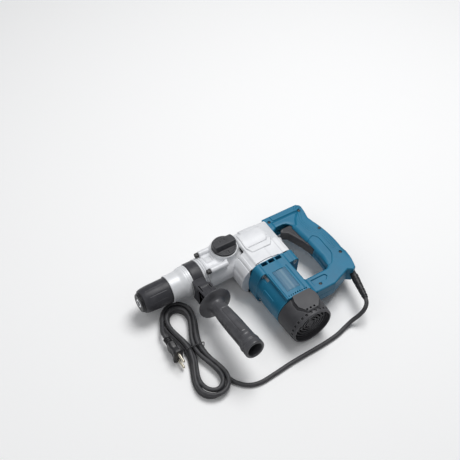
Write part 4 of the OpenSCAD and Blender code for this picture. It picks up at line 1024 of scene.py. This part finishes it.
def gear_field(x, y, z):
    side = np.abs(z)
    reach = np.hypot(y, z)
    crown = meet(reach - case_half, slab(x, seam_x, case_back + 3), 4)
    case = rect(x, z, (seam_x - 30, -case_half), (case_back - 4, case_half), 5)
    case = meet(meet(case, seam_x + 1 - x, 2), slab(y, -case_depth, 15), 3)
    nose = np.hypot(np.minimum(x - nose_x, 0), z) - case_half
    # A shallow valley parts the nose's two lobes
    around = np.arctan2(z, nose_x - x) * case_half
    nose = nose + 1.3 * np.exp(-((np.abs(around) - lobe_valley) / 4) ** 2)
    nose = meet(meet(nose, x - 240, 0), slab(y, -case_depth, -19), 0)
    dome = np.sqrt(np.minimum(x - nose_x, 0) ** 2 + z * z + np.maximum(y + 34, 0) ** 2) - case_half
    nose = meet(nose, dome, 2)
    body = join(join(crown, case, 5), nose, 4)
    # Slanted rear facet that runs down to the handle, above the floor of the housing
    slope = (x - facet_x) * 0.55 + (side - case_half) * 0.835 - np.maximum(-y - 16, 0) * 0.9
    body = meet(body, slope, 1.2)
    # Raised side panel with its fold, the front rib, the rear rib and the hump above
    panel = only(side > 25, outline(x, y, eased(side_panel, 2)))
    body = raised(body, panel, 2.1, 1.8)
    body = raised(body, only(side > 25, strip(x, y, panel_fold) - 0.7), -1.3, 1.2)
    rib = only(side > 20, strip(x, y, [(rib_x, -24), (rib_x, -62)]) - 2.2)
    body = raised(body, rib, 0.9, 1.6)
    crease = only(side > 20, strip(x, y, [(crease_x, -22), (crease_x, -62)]) - 0.5)
    body = raised(body, crease, -0.9, 1.2)
    back_rib = rect(x, y, (264.5, -70), (274.5, -21), 4.5)
    body = join(body, meet(back_rib, side - case_half - 0.9, 1.6), 1.0)
    # The side that the tool rests on is flat
    body = meet(meet(body, -y - case_depth, 0.3), -z - drum_r, 0.3)
    top = only(z > 10, outline(x, y, eased(hump, 3)))
    body = raised(body, top, 2.6, 2.2)
    pad = only(z > 25, rect(x, y, (199, -3), (214, 10), 1.5))
    body = raised(body, pad, 0.8, 1.0)
    # Arched shadow gap above the motor housing
    arch_y = -case_depth + 3.6 - ((x - 231) / 26) ** 2 * 2.6
    arch = meet(np.abs(y - arch_y) - 0.8, slab(x, 206, 257), 0.5)
    body = cut(body, meet(arch, 36 - side, 0), 0.4)
    # Room for the barrel in front of the seam, the bore behind it and the gear chambers
    body = cut(body, meet(reach - barrel_room_r, x - seam_x, 0), 0.4)
    body = cut(body, meet(reach - rear_bore_r, x - seam_x - 10, 0), 0.4)
    chamber = meet(reach - chamber_r, slab(x, seam_x + 5, case_back - 4), 3)
    chamber = meet(chamber, slope + 3.4, 2)
    floor_room = rect(x, z, (184, -chamber_half), (case_back - 9, chamber_half), 30)
    floor_room = meet(floor_room, slab(y, -50, 0), 2)
    return cut(body, join(chamber, floor_room, 2), 0.4)


gear_housing = skin("gear_casting", gear_field, (gear_low.x - 1, gear_low.y, -42),
                    (case_back + 4, 41, 42), cell=0.85)
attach(gear_housing, "housing")
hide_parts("gear_housing")
coat(gear_housing, cast_lacquer)

# ---- Mode knob ----
# A dark nylon disc with a raised thumb bar across it, turned to pick drilling, hammering or both.
# It snaps into the ring of the barrel casting.
bar_h = knob_high.z - knob_seat
bar_low, bar_high = -9.5, 11.5
thumb_dimples = [(-7, 3.5, 1.6), (3, 5.0, 2.2)]


def knob_field(x, y, z):
    u, v, w = x - knob_x, y - knob_y, z - knob_seat
    reach = np.hypot(u, v)
    disc = meet(reach - knob_r, slab(w, -1.2, 3.6), 1.0)
    disc = raised(disc, only(w > 1, np.abs(reach - knob_r + 3) - 0.4), -0.5, 0.9)
    bar = meet(reach - knob_r + 0.6, slab(v, bar_low, bar_high), 2.0)
    bar = meet(bar, w - bar_h, 1.6)
    bar = meet(bar, (bar_low - v) * 0.93 + (w - 4) * 0.37, 1.0)
    body = join(disc, meet(bar, -w, 0), 0.8)
    # Thin ridge line along the bar's foot, thumb dimples and the pointer notch
    ridge = meet(slab(v, bar_low - 2.7, bar_low - 1.7), reach - knob_r + 1.4, 0.3)
    body = join(body, meet(ridge, slab(w, 2, 4.2), 0.3), 0.4)
    for du, dv, dimple_r in thumb_dimples:
        body = cut(body, meet(np.hypot(u - du, v - dv) - dimple_r, bar_h - 0.8 - w, 0), 0.3)
    notch = meet(slab(u, -1.1, 1.1), slab(v, -19.5, -14), 0.4)
    body = cut(body, meet(notch, 2.8 - w, 0), 0.2)
    shaft = meet(reach - knob_shaft_r, slab(w, knob_low.z - knob_seat, 0), 0.4)
    return np.minimum(body, shaft)


mode_knob = skin("mode_knob_cap", knob_field, knob_low, knob_high, cell=0.6)
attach(mode_knob, "mode_knob")
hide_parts("mode_knob")

# Black nylon, handled smooth, greyed along its edges
knob_nylon = finish("knob_nylon", (0.04, 0.04, 0.045), 0.38, gloss=0.3)
worn(knob_nylon, 10, 5, (0.03, 0.03, 0.034), (0.05, 0.05, 0.056), (0.2, 0.2, 0.21), 0.6,
     sheen=(0.3, 0.46), grain=0.4, depth=0.03)
coat(mode_knob, knob_nylon)

# ---- Side handle ----
# A strap closes round the barrel's neck and carries a bracket with the hole for the depth rod.
# The grip, moulded in rubber over a hollow core, screws up on a bolt and pulls the strap tight.
swung = Matrix.Rotation(math.radians(-9.5), 4, "X")
band_low, band_high = span("clamp_band")
band_front, band_back = band_low.x, band_high.x
band_mid = (band_front + band_back) / 2
band_r = 30
band_bore_r = 26.86
grip_x = band_mid
stem_half = 6
stem_end = -65.5
clamp_r = 4


def band_field(x, y, z):
    reach = np.hypot(y, z)
    band = meet(reach - band_r, slab(x, band_front, band_back), 1.2)
    band = raised(band, np.abs(x - band_mid) - 8.6, 0.35, 0.8)
    stem = block(x, y, z, (band_front, stem_end, -stem_half), (band_back, -24, stem_half), 1.0)
    body = join(band, stem, 1.5)
    body = cut(body, reach - band_bore_r, 0.4)
    return cut(body, meet(np.hypot(x - grip_x, z) - clamp_r, y + 28, 0), 0.2)


clamp_band = skin("clamp_strap", band_field, (band_front, stem_end, -band_r),
                  (band_back, band_r, band_r), 0.7, swung)
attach(clamp_band, "side_handle")
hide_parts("clamp_band")

bracket_half = 20
bracket_front = grip_x - 15.5
bracket_back = grip_x + 12.5
bracket_low = -75.5
bracket_top = -24
cradle_back = flange_x - 2.8
rod_hole = (-60, 10.5)
rod_hole_r = 3.05
flange_room_r = 31.7


def bracket_field(x, y, z):
    foot = block(x, y, z, (bracket_front, bracket_low, -bracket_half),
                 (bracket_back, -42.8, bracket_half), 2.5)
    cradle = block(x, y, z, (bracket_front, -48, -bracket_half),
                   (cradle_back, bracket_top, bracket_half), 2.0)
    body = join(foot, cradle, 2.5)
    # Slots and a sunk pad that lighten its broad faces, and a slot on its front
    side = np.abs(z)
    long_slot = rect(x, y, (bracket_front + 3, -58), (bracket_front + 5.2, -41), 0.8)
    short_slot = rect(x, y, (bracket_back - 6.4, -57), (bracket_back - 4.8, -47), 0.7)
    body = cut(body, meet(np.minimum(long_slot, short_slot), bracket_half - 3 - side, 0.2), 0.3)
    pad = rect(x, y, (bracket_front + 8, -72), (bracket_back - 9, -47), 1.5)
    body = raised(body, only(side > 10, pad), -0.6, 1.0)
    front_slot = rect(y, z, (-70, -6), (-66.5, 6), 0.8)
    body = cut(body, meet(front_slot, x - bracket_front - 1.6, 0.2), 0.3)
    # Room for the neck's flange, the strap's stem, the bolt and the depth rod
    body = cut(body, np.hypot(y, z) - flange_room_r, 0.5)
    stem_room = block(x, y, z, (band_front - 0.3, stem_end - 0.3, -stem_half - 0.3),
                      (band_back + 0.3, 0, stem_half + 0.3), 0.2)
    body = cut(body, stem_room, 0.2)
    body = cut(body, np.hypot(x - grip_x, z) - clamp_r - 0.05, 0.3)
    return cut(body, np.hypot(y - rod_hole[0], z - rod_hole[1]) - rod_hole_r, 0.5)


bracket = skin("handle_bracket_block", bracket_field, (bracket_front, bracket_low, -bracket_half),
               (bracket_back, bracket_top, bracket_half), 0.7, swung)
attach(bracket, "side_handle")
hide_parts("handle_bracket")
for piece in (clamp_band, bracket):
    coat(piece, sleeve_nylon)

grip_r = 16.5
grip_len = 129
grip_flange_r = 32
grip_top = 75.8
finger_slot_pitch = 11
# Turns a piece's own X to -Y, from the spindle towards the motor's end
downward = Matrix.Rotation(math.radians(-90), 4, "Z")
grip_place = swung @ Matrix.Translation((grip_x, -grip_top, 0)) @ downward
grip_waist = [(34, grip_r - 1.2), (50, grip_r - 0.4), (66, grip_r), (84, grip_r), (102, grip_r + 0.1)]
grip_profile = eased([
    (0, clamp_r + 1.6), (0, grip_flange_r - 1.4), (1.0, grip_flange_r), (2.2, grip_flange_r - 0.2),
    (3.6, grip_flange_r - 3.4), (4.6, grip_r + 7), (5.6, grip_r + 2), (8.5, grip_r - 1.6),
    (14, grip_r - 2.6), (22, grip_r - 2.2), *grip_waist,
    (grip_len - 21, grip_r + 0.4), (grip_len - 19, grip_r + 1.8), (grip_len - 14, grip_r + 1.8),
    (grip_len - 13, grip_r + 0.6), (grip_len - 10.5, grip_r + 0.6), (grip_len - 9.5, grip_r + 1.8),
    (grip_len - 1.2, grip_r + 1.8), (grip_len, grip_r + 0.4), (grip_len, grip_r - 2.4),
    (grip_len - 1.5, grip_r - 3.4), (grip_len - 60, grip_r - 3.4), (grip_len - 62, clamp_r + 4),
    (40, clamp_r + 4), (40, clamp_r + 0.1), (1.4, clamp_r + 0.1)], 1.6)


def soft_step(d, soft):
    """1 inside a distance field and 0 outside it, with a soft edge."""
    s = np.clip(0.5 - d / soft, 0, 1)
    return s * s * (3 - 2 * s)


def grip_relief(a, h, r):
    """A long raised pad on each broad side, finger slots in front and a rib behind."""
    outside = (r > grip_r - 3) & (h > 11) & (h < grip_len - 20)
    across = np.degrees(np.abs(np.abs(a - math.pi) - math.pi / 2)) * math.radians(grip_r)
    ledge = rect(h, across, (16, -9.4), (102, 9.4), 3)
    pad = rect(h, across, (31, -5.6), (95, 5.6), 2)
    lift = 0.7 * soft_step(ledge, 1.4) - 0.9 * soft_step(np.abs(pad) - 0.55, 1.2)
    front = (a - math.pi) * grip_r
    for i in range(3):
        start = 49 + finger_slot_pitch * i
        slot = rect(h, front, (start, -8), (start + 3, 8), 1)
        lift = lift - 1.7 * soft_step(slot, 1.2)
    back = ((a + math.pi) % (2 * math.pi) - math.pi) * grip_r
    lift = lift + 0.5 * soft_step(np.abs(back) - 1.4, 1.4) * soft_step(slab(h, 30, 112), 2)
    return lift * outside


side_grip = turned("side_grip_rubber", grip_profile, sides=200, step=0.9, relief=grip_relief,
                   place=grip_place)
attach(side_grip, "side_grip")
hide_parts("side_grip")

# Soft black rubber, faintly glossy where hands have polished it
grip_rubber = finish("grip_rubber", (0.075, 0.075, 0.082), 0.38)
worn(grip_rubber, 16, 5, (0.062, 0.062, 0.068), (0.095, 0.095, 0.103), (0.1, 0.1, 0.105), 0.5,
     sheen=(0.26, 0.44), grain=0.45, depth=0.03)
coat(side_grip, grip_rubber)

# ---- Trigger and cord guard ----
# The broad moulded trigger swings on a pin between the handle shells and fills the arch of the
# grip. The soft ribbed guard below it keeps the cord from kinking where it leaves the handle.
trigger_low, trigger_high = span("trigger")
trigger_face = 10.5
trigger_pin_r, trigger_pin_half = 2, 14
trigger_outline = [*arc((grip_front - 19, gap_top - 12), 9, 90, 170, 5), (grip_front - 16.5, -8),
                   (grip_front - 10.5, -22), (grip_front - 5, -36), (grip_front - 1.6, -48),
                   *arc(pivot, 6, 190, 340, 6), (pivot[0] + 5, -30), (pivot[0] + 2, gap_top - 3)]


def trigger_field(x, y, z):
    side = np.abs(z)
    body = meet(outline(x, y, trigger_outline), side - trigger_face, 2.6)
    # A hollow for the finger runs down its face, with a low ridge on each flank
    front = strip(x, y, [(grip_front - 27, gap_top), (grip_front - 12, -50)])
    hollow = np.hypot(front, z * 0.9) - 6.5
    body = raised(body, only(side < 9, hollow), -0.8, 4)
    flank = strip(x, y, [(grip_front - 12, 2), (grip_front + 3, -46)]) - 0.6
    body = raised(body, only(side > 6, flank), 0.6, 1.4)
    pin = np.hypot(x - pivot[0], y - pivot[1]) - trigger_pin_r
    return np.minimum(body, meet(pin, side - trigger_pin_half, 0.3))


trigger = skin("trigger_lever", trigger_field, trigger_low, trigger_high, 0.7)
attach(trigger, "trigger")
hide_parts("trigger")
coat(trigger, knob_nylon)

guard_len = 58
guard_seat_len = 12
guard_neck_r = 6
guard_end = guard_len + guard_seat_len
rib_start = 18
rib_count = 8
rib_pitch = (guard_len - 8) / rib_count
rib_r = [guard_neck_r + 1.3 - 0.24 * i for i in range(rib_count)]
guard_bore = cord_r + 0.05
guard_outside = []
for i, r in enumerate(rib_r):
    start = rib_start + i * rib_pitch
    end = start + rib_pitch - 1.8
    guard_outside += [(start, r - 1.1), (start + 0.6, r), (end - 0.6, r), (end, r - 1.1)]
guard_place = Matrix.Translation((guard_x, guard_y, 0)) @ Matrix.Rotation(-guard_tilt, 4, "Z") \
    @ downward @ Matrix.Translation((-guard_seat_len, 0, 0))
guard_open = math.radians(38)


def guard_gaps(a, h, r):
    """Each groove between the ribs is bridged on two sides, in turn, so that the guard bends."""
    along = h - rib_start
    which = np.floor(along / rib_pitch)
    turn = np.abs((a + (which % 2) * math.pi / 2) % math.pi - math.pi / 2)
    groove = (along % rib_pitch > rib_pitch - 2.2) & (along > 0) & (h < guard_len + 8)
    groove = groove & (r > guard_bore + 0.5)
    level = guard_neck_r + 1.3 - 0.24 * which
    return np.where(groove & (turn < guard_open), (level - r) * 0.9, 0)


cord_guard = turned("cord_guard_ribs", eased([
    (0, guard_bore), (0, guard_neck_r - 0.05), (rib_start - 0.6, guard_neck_r - 0.05), *guard_outside,
    (guard_end - 2, guard_neck_r - 0.9), (guard_end, guard_neck_r - 1.3), (guard_end, guard_bore)],
    0.3, steps=2), sides=72, step=0.8, relief=guard_gaps, place=guard_place)
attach(cord_guard, "housing")
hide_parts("cord_guard")
coat(cord_guard, cap_rubber)

# ---- Plug and cord tie ----
# A moulded two-pin plug with a ribbed relief where the cord enters. A twisted wire tie holds the
# waist of the folded cord.
plug_low, plug_high = span("plug_body")
plug_x, plug_z = 14, -25
plug_top = plug_high.y
plug_relief_r = 6.5


def plug_field(x, y, z):
    u, w, h = x - plug_x, z - plug_z, plug_top - y
    relief = meet(np.hypot(u, w) - plug_relief_r + 0.06 * (h - 8), slab(h, 0, 17), 0.6)
    groove = np.abs((h - 1.6) % 3.4 - 1.7) - 0.7
    relief = np.where(h < 14, cut(relief, meet(groove, 4.9 - np.hypot(u, w), 0), 0.3), relief)
    waist = np.clip((h - 22) / 8, 0, 1)
    grip = rect(u, w, (-7, -13), (7, 13), 5) + 1.4 * waist * np.clip((36 - h) / 8, 0, 1)
    shoulder = np.hypot(u * 0.9, w * 0.62) - (h - 12) * 1.1 - 5
    grip = meet(meet(grip, slab(h, 14, 40), 1.5), shoulder, 2)
    foot = meet(rect(u, w, (-9, -17), (9, 17), 6), slab(h, 38, 43), 1.0)
    body = join(join(relief, grip, 2), foot, 1.5)
    # Finger ribs on the two broad faces
    ribs = np.abs((h - 24) % 3 - 1.5) - 0.55
    ribs = meet(ribs, meet(slab(h, 24.5, 36), np.abs(w) - 7.5, 0), 0)
    body = raised(body, only(np.abs(u) > 4, ribs), 0.5, 0.9)
    return cut(body, meet(np.hypot(u, w) - cord_r, h - 9, 0), 0.3)


plug_body = skin("plug_moulding", plug_field, plug_low, plug_high, 0.6)
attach(plug_body, "housing")
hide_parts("plug_body")
coat(plug_body, cap_rubber)

pin_low, pin_high = span("plug_pins")
pin_len = pin_high.y - pin_low.y
pin_r = 2.4
pin_apart = 19
pin_profile = eased([(0, 0.02), (0, pin_r), (pin_len - 1.6, pin_r), (pin_len - 0.5, pin_r - 0.5),
                     (pin_len, pin_r - 1.4), (pin_len, 0.02)], 0.4)
pins = []
for side in (-1, 1):
    pin_place = Matrix.Translation((plug_x, pin_high.y, plug_z + pin_apart / 2 * side)) @ downward
    pin = turned(f"plug_pin_{'lower' if side < 0 else 'upper'}", pin_profile, sides=32, place=pin_place)
    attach(pin, "housing")
    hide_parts("plug_pins")
    pins.append(pin)

# Nickelled brass, rubbed along its length by the socket
pin_metal = finish("pin_metal", (0.72, 0.68, 0.58), 0.28, 1.0)
rub = mottle(pin_metal, 0.6, 4, (1, 14, 1))
tint(pin_metal, rub, (0.62, 0.56, 0.44), (0.8, 0.76, 0.66))
sheen_of(pin_metal, rub, 0.2, 0.4)
bumps(pin_metal, [(rub, 0.02)])
for pin in pins:
    coat(pin, pin_metal)

tie_wire_r = 0.9
tie_half = hank_waist + tie_wire_r
tie_low = rest_z + tie_wire_r
tie_high = span("cord_tie")[1].z - tie_wire_r
tie_loop = eased([(6, tie_high), (-tie_half, tie_high), (-tie_half, tie_low), (tie_half, tie_low),
                  (tie_half, tie_high), (6, tie_high)], 5, closed=False, steps=6)
tie_route = [on_hank(x, 0.3, z) for x, z in tie_loop]
cord_tie = tube("cord_tie_wire", tie_route, tie_wire_r, 3)
twist_turns = 4
twist_len = 15
tie_ends = []
twist_steps = 12 * twist_turns
for start in (0, math.pi):
    route = []
    for k in range(twist_steps + 1):
        s = k / twist_steps
        turn = start + 2 * math.pi * twist_turns * s
        route.append(on_hank(6 + 1.6 * math.sin(3 * s) + tie_wire_r * math.cos(turn), -twist_len * s,
                             tie_high + tie_wire_r * 0.9 * math.sin(turn) - 1.5 * s))
    tie_ends.append(tube(f"cord_tie_end_{len(tie_ends) + 1}", route, tie_wire_r * 0.8, 3))
tie_skin = finish("tie_skin", (0.02, 0.02, 0.022), 0.35)
tie_wear = mottle(tie_skin, 3, 4)
tint(tie_skin, tie_wear, (0.014, 0.014, 0.016), (0.04, 0.04, 0.043))
sheen_of(tie_skin, tie_wear, 0.25, 0.45)
bumps(tie_skin, [(tie_wear, 0.05)])
for wire in (cord_tie, *tie_ends):
    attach(wire, "housing")
    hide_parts("cord_tie")
    coat(wire, tie_skin)

# ---- Screws ----
# Black oxide socket screws hold the barrel to the gear housing, plated ones hold the motor
# housing under it, and the handle's shells are drawn together by five short screws.


def screw_field(head_r, head_h, shank_r, shank_len, drive_r, drive_deep, crown):
    """Distance field of a socket screw whose head stands on x = 0 and points to +X."""
    def field(x, y, z):
        reach = np.hypot(y, z)
        head = meet(reach - head_r, slab(x, 0, head_h), 0.5)
        head = meet(head, np.sqrt((x - head_h + crown) ** 2 + reach ** 2) - crown, 0.2)
        around = np.arctan2(z, y)
        head = head + 0.1 * np.cos(36 * around) * (head_h > 3) * (x < head_h - 1)
        shank = meet(reach - shank_r, slab(x, -shank_len, 0.5), 0.3)
        body = np.minimum(head, shank)
        flats = np.max([np.abs(y * math.cos(a) + z * math.sin(a)) for a in
                        (0, math.pi / 3, 2 * math.pi / 3)], axis=0)
        return cut(body, meet(flats - drive_r * 0.866, head_h - drive_deep - x, 0), 0.15)
    return field


def screw(name, node, place, size, cell=0.4):
    """One screw at a place, standing for its node."""
    head_r, head_h, shank_r, shank_len = size[:4]
    made = skin(name, screw_field(*size), (-shank_len, -head_r, -head_r), (head_h, head_r, head_r),
                cell, place)
    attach(made, "housing")
    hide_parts(node)
    return made


# Black oxide on alloy steel, oily, rubbed bare at the rim and in the socket
black_oxide = finish("black_oxide", (0.035, 0.035, 0.038), 0.38, 0.6)
worn(black_oxide, 2.5, 4, (0.025, 0.025, 0.028), (0.06, 0.058, 0.056), (0.28, 0.28, 0.29), 0.7,
     sheen=(0.28, 0.48), grain=0.4, depth=0.015)

# Zinc plate: cold grey, slightly cloudy
zinc_plate = finish("zinc_plate", (0.56, 0.58, 0.6), 0.34, 0.9)
worn(zinc_plate, 1.5, 4, (0.44, 0.46, 0.48), (0.62, 0.64, 0.66), (0.78, 0.79, 0.8), 0.5,
     sheen=(0.26, 0.46), grain=0.3, depth=0.012)

# Head radius and height, shank radius and length, socket radius and depth, crown radius
barrel_screw = (4.5, 7, 2.4, 36, 2.3, 3.6, 40)
for number, (by, bz) in enumerate(boss_spots, 1):
    place = Matrix.Translation((boss_front, by, bz)) @ Matrix.Rotation(math.pi, 4, "Z")
    made = screw(f"barrel_screw_{number}", "barrel_screws", place, barrel_screw)
    coat(made, black_oxide)

motor_screw = (4.4, 6.8, 2.4, 22, 2.2, 3.0, 20)
for number, (sx, sz) in enumerate(screw_heads, 1):
    place = Matrix.Translation((sx, motor_top - 18, sz)) @ downward
    made = screw(f"motor_screw_{number}", "motor_housing_screws", place, motor_screw)
    coat(made, zinc_plate)

handle_screw = (3.0, 1.8, 1.55, 30, 1.3, 1.0, 6)
for number, (sx, sy) in enumerate(screw_spots, 1):
    place = Matrix.Translation((sx, sy, handle_half - 2.5)) @ Matrix.Rotation(math.radians(-90), 4, "Y")
    made = screw(f"handle_screw_{number}", "handle_screws", place, handle_screw, 0.3)
    coat(made, black_oxide)

# ---- Inner works ----
# Hardened gears and shafts, ground spindle parts, a wound motor and rolling bearings. They stay
# as the frame gives them, and take the finish that each is made with.


def dress(made, *nodes):
    """Gives the frame's own solids a material."""
    for node in nodes:
        coat(bpy.data.objects[node], made)


def grain_finish(name, dark, pale, rough, metal, size, stretch=(1, 1, 1), height=0.01):
    """A material clouded between two shades, its sheen and relief led by one grain."""
    made = finish(name, pale, rough, metal)
    grain = mottle(made, size, 5, stretch)
    base = tint(made, grain, dark, pale)
    over_tint(made, base, edges(made), [min(1, 1.35 * c) for c in pale], 0.4)
    sheen_of(made, mottle(made, size * 4, 4), rough * 0.75, rough * 1.3)
    bumps(made, [(grain, height)])
    return made


# Ground along X for the spindle parts, and plain turned steel for the upright shafts
ground_steel = grain_finish("ground_steel", (0.5, 0.51, 0.53), (0.68, 0.69, 0.71), 0.28, 1.0, 0.8,
                            (0.1, 6, 6))
dress(ground_steel, "tool_holder", "spindle_cylinder", "striker", "piston")
shaft_steel = grain_finish("shaft_steel", (0.48, 0.49, 0.5), (0.64, 0.65, 0.66), 0.3, 1.0, 0.9, (6, 0.1, 6))
dress(shaft_steel, "armature_shaft", "clamp_bolt")
dress(zinc_plate, "trigger_spring")

# Rings and pins lapped bright, with a thin film of oil
lapped_steel = grain_finish("lapped_steel", (0.62, 0.63, 0.65), (0.78, 0.79, 0.81), 0.14, 1.0, 2.5,
                            height=0.004)
dress(lapped_steel, "locking_balls", "front_bearing", "gudgeon_pin", "crank_pin", "crank_bearings",
      "intermediate_bearings", "rear_spindle_bearing", "motor_bearings")

# Case-hardened steel keeps a blue-grey skin under its grease
hard_steel = grain_finish("hard_steel", (0.17, 0.17, 0.19), (0.34, 0.34, 0.35), 0.36, 1.0, 3)
dress(hard_steel, "snap_ring", "sleeve_spring", "bevel_ring_gear", "impact_bolt", "connecting_rod",
      "crankshaft", "crank_gear", "intermediate_gear", "bevel_pinion_shaft")

# Stacked sheets show as fine lines across the motor's axis
stacked_sheet = grain_finish("stacked_sheet", (0.2, 0.2, 0.21), (0.42, 0.42, 0.43), 0.42, 0.9, 0.6,
                             (14, 1, 14), 0.05)
dress(stacked_sheet, "armature_core", "stator_core")

# Enamelled wire, wound round the axis
wound_wire = grain_finish("wound_wire", (0.34, 0.12, 0.05), (0.66, 0.30, 0.14), 0.3, 0.8, 0.7,
                          (10, 1, 10), 0.12)
dress(wound_wire, "field_coils")
bare_copper = grain_finish("bare_copper", (0.52, 0.25, 0.13), (0.78, 0.42, 0.26), 0.3, 1.0, 0.8, (1, 8, 1))
dress(bare_copper, "commutator")
stamped_brass = grain_finish("stamped_brass", (0.52, 0.4, 0.17), (0.74, 0.6, 0.3), 0.32, 1.0, 2)
dress(stamped_brass, "brush_holders")
pressed_carbon = grain_finish("pressed_carbon", (0.02, 0.02, 0.021), (0.06, 0.06, 0.062), 0.55, 0.2, 0.4,
                              height=0.03)
dress(pressed_carbon, "carbon_brushes")
cream_resin = grain_finish("cream_resin", (0.62, 0.61, 0.55), (0.76, 0.75, 0.69), 0.45, 0.0, 4)
dress(cream_resin, "terminal_block")
dress(dark_nylon, "fan", "switch_body")
dress(cap_rubber, "oil_seal", "striker_ring", "piston_ring")
